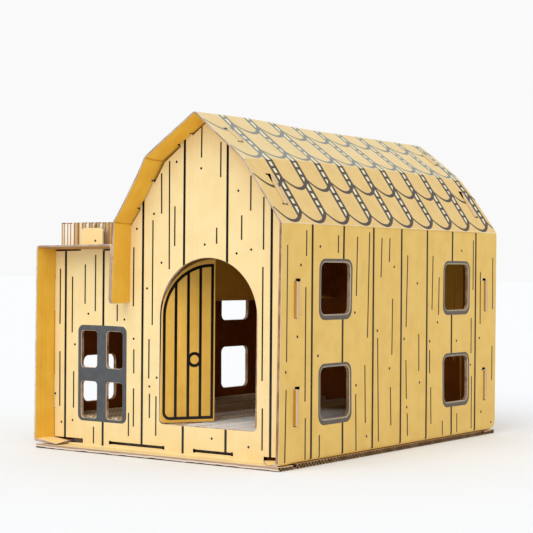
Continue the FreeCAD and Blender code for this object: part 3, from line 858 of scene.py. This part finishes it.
def wall_print(to_blank, lows_and_highs, top):
    """Planks and window frames of a long wall."""
    def place(y, z):
        return to_blank(y + FRONT, z)
    grain = [(y, low, min(high, top - GRAIN_CLEAR)) for y, low, high in WALL_GRAIN if low < top - GRAIN_LEAST]
    knots = [(y, z) for y, z in WALL_KNOTS if z < top - KNOT_CLEAR]
    shapes = plank_print("line", WALL_SEAMS, grain, knots, place, SEAT + 1, top - 1, WALL_SCALE)
    frames = windows(lows_and_highs, FRAME_SIDE, FRAME_FOOT, FRAME_TOP, FRAME_CORNER)
    pale = windows(lows_and_highs, FRAME_PALE, FRAME_PALE, FRAME_PALE, WINDOW_CORNER + FRAME_PALE)
    for name, loops in (("frame", frames), ("frame_pale", pale)):
        shapes += [(name, mapped(to_blank, loop)) for loop in loops]
    return shapes


LOFT_BACK = 150
FOLD_CLEAR, RIM_CLEAR, SLOT_CLEAR, CREASE_SHARE = 3, 5, 8, 0.7


def inner_face(fold, base, loft=(0, 0), shade=(0, 0)):
    """Names the finish on the inner face: the flaps, paler with painted light, and the room, with painted
    shade and a painted lighter patch high up, and past the panels the overhangs, painted shade in their folds
    and under the wing's roof."""
    def kind(u, v):
        if u < base - FOLD_CLEAR:
            return "flap" if abs(v) > BACK - RECESS else "room"
        if abs(v) < INSIDE:
            return "loft" if loft[0] < u < loft[1] and v < LOFT_BACK else "room"
        if shade[0] < u < shade[1]:
            return "shade"
        folds = zip(fold.starts[2:-1], fold.reach[2:-1])
        near = any(abs(u - start) < CREASE_SHARE * reach for start, reach in folds)
        return "crease" if near else "back"
    return kind


def shell_rim(base, eave, end):
    """Names the raw edge of a shell: its slots, black with painted shadow, its windows, the long wall's rim
    and the rest.
    """
    def kind(u, v):
        if base + RIM_CLEAR < u < end - RIM_CLEAR and abs(v) < BACK - RECESS + SLOT_CLEAR:
            return "slot" if abs(v) > VOID_NEAR - 2 else "jamb"
        return "wall_rim" if base + FOLD_CLEAR < u < eave else "edge"
    return kind


def flap_lines():
    """Lines along the blank where the room ends and the flaps start to be crushed."""
    places = [INSIDE, FLAP_NOTCH + CRUSH_STARTS, BACK - RECESS + 4]
    places += [BACK - CRUSH_REACH, BACK - CRUSH_REACH / 2]
    return [(1, side * place) for place in places for side in (-1, 1)]


# How flat a flap is crushed: over what span from its wall, and by what share
ROOM_FLAP_CRUSH, WING_FLAP_CRUSH = (14, 0.84), (36, 0.5)
FREE_FLAP_CRUSH, FREE_FLAP_MORE, CRUSH_STARTS = 0.74, 0.1, 5


def flap_depth(depth, reach, y, span, flat):
    """The crushed thickness of a flap in the panel's slot and on its foot. Past the span it is flat by that
    share at the panel, and by another one at its free end."""
    passed = smooth((abs(y) - FLAP_NOTCH) / CRUSH_STARTS)
    free = rim_share(y)
    share = flat + (FREE_FLAP_CRUSH - flat) * free
    return depth * (1 - passed * (share * smooth(reach / span) + FREE_FLAP_MORE * free))


HANG_LEAST, HANG_MORE, HANG_RUN, HANG_REACH, HANG_ENDS = 4.4, 1.8, (20, 120), 45, 8


def hang(u, end, y):
    """How far the short wall's edge hangs down between the panels."""
    most = HANG_LEAST + HANG_MORE * smooth((y - HANG_RUN[0]) / HANG_RUN[1])
    between = smooth((BACK - RECESS - BOARD - abs(y)) / HANG_ENDS)
    return most * between * smooth((u - end + HANG_REACH) / HANG_REACH)


# How the free edges wander: the size of the waves, and the seeds of the front and the back edge
ROOM_WAVES, WING_WAVES = (55, (1.5, 4.5)), (60, (7.5, 9.5))
WING_WANDER, ROOF_CALMER, EAVE_BLEND = 0.35, 0.65, 15


def wandering(fold, u, v, depth, amount, size, seeds):
    """A point of a shell, with the wander of its free edges. seeds are for the front and the back edge."""
    inwards = (fold.at(u, BOARD) - fold.at(u, 0)).normalized()
    seed = seeds[0] if v < 0 else seeds[1]
    return fold.at(u, depth) + inwards * amount * rim_share(v) * ripple(u, size, seed)


def end_corners(end):
    """The rounded corners where a blank ends, from the back to the front."""
    across, away = end - SHORT_WALL_CORNER, BACK - SHORT_WALL_CORNER
    back = arc((across, away), SHORT_WALL_CORNER, 90, 0, 6)
    return back + arc((across, -away), SHORT_WALL_CORNER, 0, -90, 6)


INSIDE = BACK - RECESS - 0.3


def flap_outline(fold_at, neck, tip):
    """The outline of a bottom flap: the part at the back, going to the wall, and the part at the front."""
    notch, bend = FLAP_NOTCH, BACK - RECESS
    back = [(0, notch), (fold_at - neck, notch), (fold_at - neck, bend), (fold_at - tip, BACK)]
    front = [(across, -y) for across, y in reversed(back)]
    return back, front


def make_main_shell():
    corners = [
        (FLAP_MEETING, SEAT),
        (RIGHT, SEAT),
        *roof_corners(0),
        (SHORT_WALL, SHORT_WALL_FOOT),
    ]
    fold = Fold(corners, BOARD, 1)
    base, eave, knee, ridge, left_knee, left_eave, end = fold.starts[1:]
    back, front = flap_outline(base, ROOM_FLAP_NECK, ROOM_FLAP_TIP)
    outline = [
        *back[:-1],
        (base - ROOM_FLAP_TIP, BACK - 1),
        (base - 3, BACK - WALL_CORNER),
        *arc((base + WALL_CORNER, BACK - WALL_CORNER), WALL_CORNER, 180, 90, 6),
        *end_corners(end),
        *front,
    ]

    def on_wall(y, z):
        return base + z - SEAT, y

    def on_slope(side, stretch):
        """To the blank from a distance from the front edge and one down the slope."""
        start = {(1, "lower"): knee, (1, "upper"): ridge, (-1, "upper"): ridge, (-1, "lower"): left_knee}
        return lambda y, down: (start[side, stretch] - side * down, y + FRONT)

    holes = wall_holes(on_wall, ROOM_WINDOWS)
    inks = wall_print(on_wall, ROOM_WINDOWS, EAVE_Z)
    for side in (1, -1):
        for stretch in ("lower", "upper"):
            to_blank = on_slope(side, stretch)
            for end_side in (-1, 1):
                cut = slot_cut(end_side, *ROOF_SLOTS[side, stretch], TICK_REACH)
                holes.append([to_blank(y - FRONT, down) for y, down in cut])
            inks += roof_print(stretch, to_blank)
    areas = [
        # The slopes' painted light: the upper slope lighter than the lower ones
        ("roof_low", box(eave, knee, FRONT - 1, BACK + 1)),
        ("roof_high", box(knee, left_knee, FRONT - 1, BACK + 1)),
        ("roof_low", box(left_knee, left_eave, FRONT - 1, BACK + 1)),
        # Along the eaves: a painted highlight on the rounded fold, partly worn print
        ("fold", box(eave - 0.5, eave + 1.5, FRONT - 1, BACK + 1)),
        ("fold", box(left_eave - 1.5, left_eave + 0.5, FRONT - 1, BACK + 1)),
    ]
    # A crumple at the front of the right knee: a pale scuff, worn and partly a painted highlight, and a dark
    # line of painted shade in its fold
    scuffs = [
        ("scuff", ((-1.5, -1), (4, -1), (3, 2.2), (-1, 3))),
        ("low", ((-8, -1), (-2.5, -1), (-2, 2.5), (-4, 1))),
    ]
    scuffs = [(name, [(knee + u, FRONT + v) for u, v in loop]) for name, loop in scuffs]
    lines = [(0, place) for place in fold.creases()] + flap_lines()
    blank = cut_blank([outline], holes, areas + inks + scuffs, lines)

    def place(u, v, depth):
        roof = smooth((u - eave + EAVE_BLEND) / (2 * EAVE_BLEND))
        if u < base - fold.reach[1]:
            point = fold.at(u, flap_depth(depth, base - u, v, *ROOM_FLAP_CRUSH) * crushed(v, WALL_CRUSH))
        else:
            left = depth * crushed(v, WALL_CRUSH + (CRUSH - WALL_CRUSH) * roof)
            point = wandering(fold, u, v, left, 1 - ROOF_CALMER * roof, *ROOM_WAVES)
        return bent(point.x, v, point.y - hang(u, end, v))

    materials = {**SHEET, "roof_low": "print_roof_low", "roof_high": "print_roof_high"}
    piece = make_board("folded_room_sheet", blank, place, BOARD, materials, lambda u, v: v,
                       edge_at=shell_rim(base, eave, end), back_at=inner_face(fold, base, (eave, end)))
    fit(piece, "house", "wall_board", "main_shell")


def make_wing_shell():
    corners = [
        (-FLAP_MEETING, SEAT),
        (LEFT, SEAT),
        (LEFT, WING_TOP),
        (WING_FLAP, WING_TOP),
        (WING_FLAP, SHORT_WALL_FOOT),
    ]
    fold = Fold(corners, BOARD, -1)
    base, top, flap, end = fold.starts[1:]
    back, front = flap_outline(base, WING_FLAP_NECK, WING_FLAP_TIP)
    outline = [
        *back,
        *end_corners(end),
        *front,
    ]

    def on_wall(y, z):
        return base + z - SEAT, y

    holes = wall_holes(on_wall, WING_WINDOWS)
    for side in (-1, 1):
        cut = slot_cut(side, WING_TAB[0] - SLOT_GAP, WING_TAB[1] + SLOT_GAP, 0)
        holes.append([(top + x - LEFT, y) for y, x in cut])
    inks = wall_print(on_wall, WING_WINDOWS, WING_TOP)
    lines = [(0, place) for place in fold.creases()] + flap_lines()
    blank = cut_blank([outline], holes, inks, lines)

    def place(u, v, depth):
        if u < base - fold.reach[1]:
            point = fold.at(u, flap_depth(depth, base - u, v, *WING_FLAP_CRUSH))
        else:
            point = wandering(fold, u, v, depth * crushed(v), WING_WANDER, *WING_WAVES)
        return bent(point.x, v, point.y - hang(u, end, v))

    materials = {**SHEET, "wall_rim": "edge_pale"}
    inner = inner_face(fold, base, shade=(top + 4, flap))
    piece = make_board("folded_wing_sheet", blank, place, BOARD, materials, lambda u, v: v,
                       edge_at=shell_rim(base, top, end), back_at=inner)
    fit(piece, "house", "wall_board", "wing_shell")


# Panels

def to_panel(x, z):
    """To a panel's blank from a place on its upright."""
    return x, on_panel(z)


# The panels stand closer to these two walls than to the others, and their tabs start inside the panel
LEFT_CLOSER, SHORT_WALL_CLOSER, TAB_ROOT = 3.5, 3.2, 2


def panel_shapes():
    """Solids and holes of a panel's blank, across the house and up its printed face."""
    inset = BOARD + PANEL_GAP
    left_edge, short_edge = LEFT + inset - LEFT_CLOSER, SHORT_WALL + inset - SHORT_WALL_CLOSER
    left_eave = roof_corners(inset)[-1][1] - 3
    upright = [
        (LEFT, 0),
        (RIGHT, 0),
        (RIGHT, RECESS - 0.01),
        (RIGHT - inset, RECESS),
        *mapped(to_panel, roof_corners(inset)[:-1]),
        (short_edge, on_panel(left_eave)),
        (short_edge, on_panel(NOTCH)),
        (WING_FLAP - inset, on_panel(NOTCH)),
        (WING_FLAP - inset, on_panel(WING_TOP - inset)),
        (left_edge, on_panel(WING_TOP - inset)),
        (left_edge, RECESS),
        (LEFT, RECESS - 0.01),
    ]
    root_depth = inset + TAB_ROOT
    tabs, roof_tabs = [], []
    for low, high in WALL_TABS:
        tabs.append(box(LEFT - TAB_OUT, LEFT + root_depth, on_panel(low), on_panel(high)))
        tabs.append(box(RIGHT - root_depth, RIGHT + TAB_OUT, on_panel(low), on_panel(high)))
    for (side, stretch), (root, tip, finish) in ROOF_TABS.items():
        ends = [(root, -root_depth), (finish, -root_depth), (finish, ROOF_TAB_OUT), (tip, ROOF_TAB_OUT)]
        ends.append((root, 0))
        loop = [slope_point(side, stretch, down, out) for down, out in ends]
        roof_tabs.append(mapped(to_panel, loop))
    left, right = WING_TAB
    tab = [
        (left, WING_TOP - root_depth),
        (right, WING_TOP - root_depth),
        *arc((right - WING_TAB_CORNER, WING_TAB_TOP - WING_TAB_CORNER), WING_TAB_CORNER, 0, 90, 6),
        *arc((left + WING_TAB_CORNER, WING_TAB_TOP - WING_TAB_CORNER), WING_TAB_CORNER, 90, 180, 6),
    ]
    tabs.append(mapped(to_panel, tab))
    holes = [mapped(to_panel, loop) for loop in (WING_SLOT, ROOM_SLOT)]
    holes += [slit(start, finish) for start, finish in SLITS]
    return [upright, *tabs, *roof_tabs], holes


def beyond(x, z):
    """How far a point is outside the shells' outer faces, or below 0 inside them."""
    if x < SHORT_WALL:
        return max(LEFT - x, z - WING_TOP)
    away = abs(x - RIDGE_X)
    upper = (away * UPPER_DROP + (z - RIDGE_Z) * UPPER_RUN) / UPPER_LENGTH
    lower = ((away - UPPER_RUN) * LOWER_DROP + (z - KNEE_Z) * LOWER_RUN) / LOWER_LENGTH
    return max(x - RIGHT, upper, lower)


def tab_prints():
    """The painted tones of the tabs where they stand out of the shells: shade on the wall tabs, and the
    slopes' painted light on the roof tabs.
    """
    shapes = []
    for low, high in WALL_TABS:
        for left, right in ((RIGHT - 1, RIGHT + TAB_OUT + 1), (LEFT - TAB_OUT - 1, LEFT + 1)):
            shapes.append(("tab", box(left, right, on_panel(low) - 1, on_panel(high) + 1)))
    for (side, stretch), (start, finish) in ROOF_SLOTS.items():
        ends = ((start, -1), (finish, -1), (finish, ROOF_TAB_OUT + 1), (start, ROOF_TAB_OUT + 1))
        loop = [slope_point(side, stretch, down, out) for down, out in ends]
        shapes.append((f"tab_{stretch}", mapped(to_panel, loop)))
    return shapes


LOFT_LEFT, LOFT_LOW = 100, SHORT_WALL_FOOT - 25


def panel_back(u, v):
    """Names the finish on a panel's back: the room's painted shade, painted light high up, and the tabs as
    what they stand in.
    """
    z = v - RECESS + BOARD
    if v > RECESS + BOARD and beyond(u, z) > -BOARD - 1:
        return "tab_lower" if z > WING_TOP else "tab"
    return "loft" if z > LOFT_LOW and u > LOFT_LEFT else "back"


def panel_edge(u, v):
    """The raw edge that shows at a place of a panel's rim. The low slots and the slits are black with painted
    shadow.
    """
    z = v - RECESS + BOARD
    if v < 1:
        return "foot_edge"
    if v < RECESS and abs(u) > RIGHT - 1:
        return "fluted"
    if v < on_panel(SLIT_HIGH + 2) and abs(u) < RIGHT - 1:
        return "slot"
    if u < SHORT_WALL and z > WING_TOP:
        return "open"
    return "tab_end" if beyond(u, z) > -1 else "edge"


PUNCH, PUNCH_RISE = 3.0, 0.6


def slit(start, finish):
    """A thin slit with a small square punch at each end."""
    low, high = on_panel(SLIT_LOW), on_panel(SLIT_HIGH)
    inner_start, inner_finish = start + PUNCH, finish - PUNCH
    under, over = low - PUNCH_RISE, high + PUNCH_RISE
    return [
        (start, under), (inner_start, under), (inner_start, low), (inner_finish, low),
        (inner_finish, under), (finish, under), (finish, over), (inner_finish, over),
        (inner_finish, high), (inner_start, high), (inner_start, over), (start, over),
    ]


def on_panel(z):
    """Up the blank: from a height on the upright."""
    return RECESS + z - BOARD


FOOT_SWELL, FOOT_SWELL_REACH, FOOT_SWELL_LIFT = 0.2, 14, 1.04
PANEL_BOW, PANEL_BEND, BEND_STARTS, BEND_RUN = 0.5, 0.3, 20, 60


def make_panel(name, node, facing, holes, inks, materials, back_shift=None):
    solids, cuts = panel_shapes()
    fold = Fold([(-BACK, BOARD), (-BACK + RECESS, BOARD), (-BACK + RECESS, RIDGE_Z)], BOARD, -1, softness=2.0)
    lines = [(1, place) for place in [FOOT_SWELL_REACH / 2, FOOT_SWELL_REACH, *fold.creases()]]
    blank = cut_blank(solids, cuts + holes, inks + tab_prints(), lines)

    def place(u, v, depth):
        swell = FOOT_SWELL * smooth(1 - v / FOOT_SWELL_REACH)
        y, z = fold.at(v, depth * (1 + swell))
        z += FOOT_SWELL_LIFT * swell * BOARD
        bow = PANEL_BOW * ripple(u, 110, 11.5 + facing) * math.sin(math.pi * min(1, max(0, z) / RIDGE_Z))
        share = smooth((z - BEND_STARTS) / BEND_RUN)
        return bent(u, -facing * (y + bow), z, PANEL_BEND * share, share)

    def grain(u, v):
        return u if v > RECESS - 2 else v

    boards = {
        **SHEET, "back": "print_room", "edge": "edge_board", "foot_edge": "edge_foot", "fluted": "edge_base",
        "open": "edge_open", "tab": "print_tab", "tab_end": "cut_tab", "tab_lower": "print_roof_low",
        "tab_upper": "print_roof_high", **materials,
    }
    piece = make_board(name, blank, place, BOARD, boards, grain, back_shift, panel_edge, panel_back)
    fit(piece, "house", "panel_board", node)


def doorway():
    """The arch's outline, from its lower right corner anticlockwise, on the blank."""
    left, right = ARCH_X - ARCH_WIDE, ARCH_X + ARCH_WIDE
    crown = [(ARCH_X + x * ARCH_WIDE, DOOR_SPRING + z * ARCH_HIGH) for x, z in arc((0, 0), 1, 0, 180, 48)]
    loop = [
        *arc((right - DOOR_CORNER, DOOR_SILL + DOOR_CORNER), DOOR_CORNER, -90, 0, 6),
        *crown,
        *arc((left + DOOR_CORNER, DOOR_SILL + DOOR_CORNER), DOOR_CORNER, 180, 270, 6),
    ]
    return mapped(to_panel, loop)


CREASE_BEVEL = 7.0


def jamb_shift(u, v):
    """The back liner stops short of each jamb, where the crease's groove is."""
    if not on_panel(DOOR_SILL + 1) < v < on_panel(DOOR_SPRING + 20):
        return 0.0
    for side in (-1, 1):
        if abs(u - (ARCH_X + side * ARCH_WIDE)) < 4:
            return side * CREASE_BEVEL
    return 0.0


SEAM_LOW, BACK_SEAM_LOW = 7, 12


def make_front_panel():
    holes = [doorway()]
    for left, right in PANE_COLUMNS:
        for low, high in PANE_ROWS:
            holes.append(rounded_box(left, right, on_panel(low), on_panel(high), PANE_CORNER))
    seams = {SEAM_LOW: [], SLIT_HIGH: []}
    for seam in FRONT_SEAMS:
        above_slit = any(start < seam < finish for start, finish in SLITS)
        seams[SLIT_HIGH if above_slit else SEAM_LOW].append(seam)
    inks = plank_print("black", [], FRONT_GRAIN, FRONT_KNOTS, to_panel, 0, 0)
    for low, group in seams.items():
        inks += plank_print("black", group, [], [], to_panel, low, RIDGE_Z)
    left, right, low, high = PANE_FRAME
    inks.append(("frame", rounded_box(left, right, on_panel(low), on_panel(high), PANE_FRAME_CORNER)))
    materials = {"front": "print_front", "frame": "ink_frame"}
    make_panel("front_sheet", "front_panel", -1, holes, inks, materials, jamb_shift)


def make_back_panel():
    lines = (FRONT_SEAMS, BACK_GRAIN, FRONT_KNOTS)
    inks = plank_print("line", *lines, to_panel, BACK_SEAM_LOW, RIDGE_Z, BACK_SCALE)
    make_panel("back_sheet", "back_panel", 1, [], inks, {})


# Door leaves

LEAF_GAP, LEAF_CUT = -1.0, 0.8
LEAF_LINE = 4.3
LEAF_SEAMS = (22.2, 40.8, 58.9)
LEAF_FRAME = (5.0, 76.7, 52)
LEAF_ARC = 71.5
LEAF_FRAME_CORNER = 9
RING_AT, RING_OUTER, RING_INNER = (50.2, 133.6), 10.9, 6.4
LEAF_BOW, LEAF_LEAN = 0.6, 1.3
LEFT_LEAF_REST, RIGHT_LEAF_REST = 60, 80


def leaf_outline():
    free, low = DOOR_RADIUS - LEAF_CUT / 2, DOOR_SILL + LEAF_CUT
    reach = DOOR_RADIUS - LEAF_CUT
    return [
        *arc((LEAF_GAP + DOOR_CORNER, low + DOOR_CORNER), DOOR_CORNER, 180, 270, 6),
        (free, low),
        *arc((DOOR_RADIUS, DOOR_SPRING), reach, 90.3, 180, 30),
    ]


def leaf_print():
    left, right, low = LEAF_FRAME
    half = LEAF_LINE / 2
    crown = DOOR_SPRING + LEAF_ARC
    centre = (left + LEAF_ARC, DOOR_SPRING)

    def frame_line(grown):
        return [
            *arc((left + LEAF_FRAME_CORNER, low + LEAF_FRAME_CORNER), LEAF_FRAME_CORNER + grown, 180, 270, 6),
            (right + grown, low - grown),
            (right + grown, crown + grown),
            *arc(centre, LEAF_ARC + grown, 90, 180, 24),
        ]

    shapes = [("black", frame_line(half)), ("bare", frame_line(-half))]
    for seam in LEAF_SEAMS:
        top = DOOR_SPRING + math.sqrt(LEAF_ARC ** 2 - (centre[0] - seam) ** 2)
        shapes.append(("black", box(seam - half, seam + half, low, top)))
    shapes.append(("black", arc(RING_AT, RING_OUTER, 0, 345, 23)))
    shapes.append(("bare", arc(RING_AT, RING_INNER, 0, 345, 23)))
    return shapes


def make_leaf(name, node, body, side, opened):
    """A leaf on its crease. side is 1 for the left leaf, and opened its angle at rest in degrees."""
    blank = cut_blank([leaf_outline()], [], leaf_print(), [])
    hinge = Vector((RIDGE_X - side * DOOR_RADIUS, PANEL_FACE))
    angle = math.radians(opened) * side

    def place(u, v, depth):
        share = u / DOOR_RADIUS
        bow = LEAF_BOW * math.sin(math.pi * u / DOOR_RADIUS) * ripple(v, 90, 21.5 + side)
        flat = Vector((side * u, depth + (bow - LEAF_LEAN * share ** 2)))
        x = hinge.x + flat.x * math.cos(angle) - flat.y * math.sin(angle)
        y = hinge.y + flat.x * math.sin(angle) + flat.y * math.cos(angle)
        return Vector((x, y, v))

    def hinge_shift(u, v):
        return CREASE_BEVEL if u < 4 else 0.0

    materials = {
        **SHEET, "front": "print_door", "bare": "print_door", "back": "print_room", "edge": "edge_board",
    }
    piece = make_board(name, blank, place, BOARD, materials, lambda u, v: u, hinge_shift)
    fit(piece, body, "door_board", node)


# Base board and scratch pads

def make_base():
    low, high = box_mm("base_board")
    outline = box(low.x, high.x, low.y, high.y)
    blank = cut_blank([outline], [], [], [])

    def place(u, v, depth):
        return Vector((u, v, high.z - depth))

    materials = {**SHEET, "front": "kraft", "back": "kraft", "edge": "edge_base", "liner": "kraft"}
    piece = make_board("ground_sheet", blank, place, high.z - low.z, materials, lambda u, v: v)
    fit(piece, "house", "base_board", "base_board")


WAVE_PITCH, WAVE_STEPS, PLY, SKIN = 8.7, 6, 0.5, 1.1
BUNDLES, BUNDLE_JOINT, JOINT_DEPTH, JOINT_SHORT = 4, 3, 3.5, 1.5
STRIPS, STRIP_WIDTHS = 5, (0.7, 1.3)
SHORT_NEAR, SHORT_FAR, LOWER_STRIP = 2.2, 1.6, 0.5


def add_block(verts, faces, low, high):
    first = len(verts)
    for x in (low[0], high[0]):
        for y in (low[1], high[1]):
            for z in (low[2], high[2]):
                verts.append(Vector((x, y, z)) * MM)
    for quad in ((0, 1, 3, 2), (4, 6, 7, 5), (0, 4, 5, 1), (2, 3, 7, 6), (0, 2, 6, 4), (1, 5, 7, 3)):
        faces.append([first + corner for corner in quad])


def add_wave(verts, faces, x, half, low_y, high_y, low_z, high_z, phase):
    """A standing ribbon of fluting along the pad."""
    steps = round((high_y - low_y) / WAVE_PITCH * WAVE_STEPS)
    rows = []
    for step in range(steps + 1):
        y = low_y + (high_y - low_y) * step / steps
        angle = 2 * math.pi * (y - low_y) / WAVE_PITCH + phase
        middle = x + half * math.sin(angle)
        slope = half * 2 * math.pi / WAVE_PITCH * math.cos(angle)
        across = PLY / 2 * math.hypot(1, slope)
        first = len(verts)
        for side, z in ((-1, low_z), (-1, high_z), (1, high_z), (1, low_z)):
            verts.append(Vector((middle + side * across, y, z)) * MM)
        rows.append(first)
    for a, b in zip(rows, rows[1:]):
        for corner in range(4):
            after = (corner + 1) % 4
            faces.append([a + corner, a + after, b + after, b + corner])
    faces.append([rows[0] + corner for corner in (3, 2, 1, 0)])
    faces.append([rows[-1] + corner for corner in (0, 1, 2, 3)])


def make_pad(name, node, body, papers, skin, cells, grown=(0, 0)):
    """Strips of corrugated board on edge, glued side by side. papers(x) gives the papers to draw a strip's
    from, skin is the paper between the strips, cells is the depth of the open cells on top, and grown is how
    far the pad spreads to the left and up."""
    low, high = box_mm(node)
    left, top = low.x - grown[0], high.z + grown[1]
    draw = random.Random(name)
    verts, faces, kinds = [], [], []
    bundle = (high.x - left) / BUNDLES

    def block(x_low, x_high, near, far, floor, ceiling):
        add_block(verts, faces, (x_low, near, floor), (x_high, far, ceiling))

    def paint(paper):
        kinds.extend([paper] * (len(faces) - len(kinds)))

    for number in range(BUNDLES):
        start = left + number * bundle + (BUNDLE_JOINT / 2 if number else 0)
        end = left + (number + 1) * bundle - (BUNDLE_JOINT / 2 if number < BUNDLES - 1 else 0)
        if number < BUNDLES - 1:
            near, far = low.y + JOINT_SHORT, high.y - JOINT_SHORT
            block(end, end + BUNDLE_JOINT, near, far, low.z, top - JOINT_DEPTH)
            paint("strip_brown")
        widths = [draw.uniform(*STRIP_WIDTHS) for strip in range(STRIPS)]
        places = [start]
        for width in widths:
            places.append(places[-1] + width * (end - start) / sum(widths))
        for x, after in zip(places, places[1:]):
            paper = draw.choice(papers(x))
            near, far = low.y + draw.uniform(0, SHORT_NEAR), high.y - draw.uniform(0, SHORT_FAR)
            ceiling = top - draw.uniform(0, LOWER_STRIP)
            block(x, x + SKIN, near, far, low.z, ceiling)
            paint(skin)
            block(x + SKIN, after, near + 0.5, far - 0.5, low.z, ceiling - cells)
            middle, half = (x + SKIN + after) / 2, (after - x - SKIN - PLY) / 2
            phase = draw.uniform(0, 6)
            wave_low, wave_high = ceiling - cells - 0.3, ceiling - 0.2
            add_wave(verts, faces, middle, half, near + 0.3, far - 0.3, wave_low, wave_high, phase)
            paint(paper)
        block(end - PLY, end, low.y + 1, high.y - 1, top - cells, top - 0.3)
        paint(paper)
    fit(add_piece(name, verts, faces, kinds), body, "pad_strips", node)


FLOOR_CELLS, ROOF_CELLS = 0.9, 1.6
WING_PAD_GROWN, ROOF_PAD_GROWN = (0, 2.5), (3.5, 3.2)
WHITE_FROM = 20


def room_papers(x):
    """White in the room's right half, and mixed papers to the left of it."""
    return ("strip_white",) if x > WHITE_FROM else ("strip_tan", "strip_cream", "strip_pale")


def wing_papers(x):
    return ("strip_cream", "strip_pale", "strip_tan")


def roof_papers(x):
    return ("strip_cream", "strip_tan", "strip_pale")


make_main_shell()
make_wing_shell()
make_front_panel()
make_back_panel()
make_leaf("leaf_left", "door_leaf_left", "left_door", 1, LEFT_LEAF_REST)
make_leaf("leaf_right", "door_leaf_right", "right_door", -1, RIGHT_LEAF_REST)
make_base()
make_pad("scratcher_right", "floor_pad_right", "house", room_papers, "strip_skin", FLOOR_CELLS)
make_pad("scratcher_middle", "floor_pad_middle", "house", room_papers, "strip_skin", FLOOR_CELLS)
make_pad("scratcher_wing", "floor_pad_wing", "house", wing_papers, "strip_tan", FLOOR_CELLS, WING_PAD_GROWN)
make_pad("scratcher_roof", "roof_pad", "top_pad", roof_papers, "strip_brown", ROOF_CELLS, ROOF_PAD_GROWN)


# Studio

FLOOR_REACH = 30
SKY_STRENGTH, SKY_SEEN = 0.7, 0.95
SUN_STRENGTH, SUN_SIZE, SUN_WAY = 1.45, 60, Vector((-0.12, 0.66, -0.74))


def make_studio():
    Finish("floor_white", 0.9, 0.1).colour(srgb("#f6f8fa"))
    corners = [(*corner, 0) for corner in box(-FLOOR_REACH, FLOOR_REACH, -FLOOR_REACH, FLOOR_REACH)]
    floor = add_piece("studio_floor", corners, [(0, 1, 2, 3)], ["floor_white"])

    world = bpy.data.worlds.new("studio")
    bpy.context.scene.world = world
    world.use_nodes = True
    sky = Nodes(world.node_tree)
    lamp = sky.tree.nodes["Background"]
    sky.feed(lamp.inputs["Color"], (1, 1, 1, 1))
    sky.feed(lamp.inputs["Strength"], SKY_STRENGTH)
    seen = sky.node("ShaderNodeBackground", [("Color", (SKY_SEEN, SKY_SEEN, SKY_SEEN, 1))])
    rays = sky.node("ShaderNodeLightPath").outputs
    bounced = sky.math("MAXIMUM", rays["Is Glossy Ray"], rays["Is Transmission Ray"])
    either = sky.math("MAXIMUM", rays["Is Camera Ray"], bounced)
    mix = sky.node("ShaderNodeMixShader", [(0, either), (1, lamp.outputs[0]), (2, seen.outputs[0])])
    sky.feed(sky.tree.nodes["World Output"].inputs["Surface"], mix.outputs[0])

    light = bpy.data.lights.new("key", "SUN")
    light.energy = SUN_STRENGTH
    light.angle = math.radians(SUN_SIZE)
    key = bpy.data.objects.new("key", light)
    key.rotation_euler = SUN_WAY.to_track_quat("-Z", "Y").to_euler()
    bpy.context.scene.collection.objects.link(key)


CAMERA_PLACE = Vector((1329.9, -1906.8, 261.3))
CAMERA_YAW, CAMERA_ROLL = 0.616849, 0.0078945
FOCAL_PIXELS, PHOTO_PIXELS, HORIZON_SHIFT = 1519.87, 533, 2.59
SENSOR = 36


def make_camera():
    data = bpy.data.cameras.new("photo_camera")
    data.sensor_fit = "HORIZONTAL"
    data.sensor_width = SENSOR
    data.lens = FOCAL_PIXELS / PHOTO_PIXELS * SENSOR
    data.shift_y = HORIZON_SHIFT / PHOTO_PIXELS
    data.clip_end = 100
    camera = bpy.data.objects.new("photo_camera", data)
    turn = Matrix.Rotation(CAMERA_YAW, 4, "Z") @ Matrix.Rotation(math.pi / 2, 4, "X")
    camera.matrix_world = Matrix.Translation(CAMERA_PLACE * MM) @ turn @ Matrix.Rotation(CAMERA_ROLL, 4, "Z")
    bpy.context.scene.collection.objects.link(camera)
    bpy.context.scene.camera = camera


make_studio()
make_camera()
bpy.context.scene.view_settings.view_transform = "Standard"
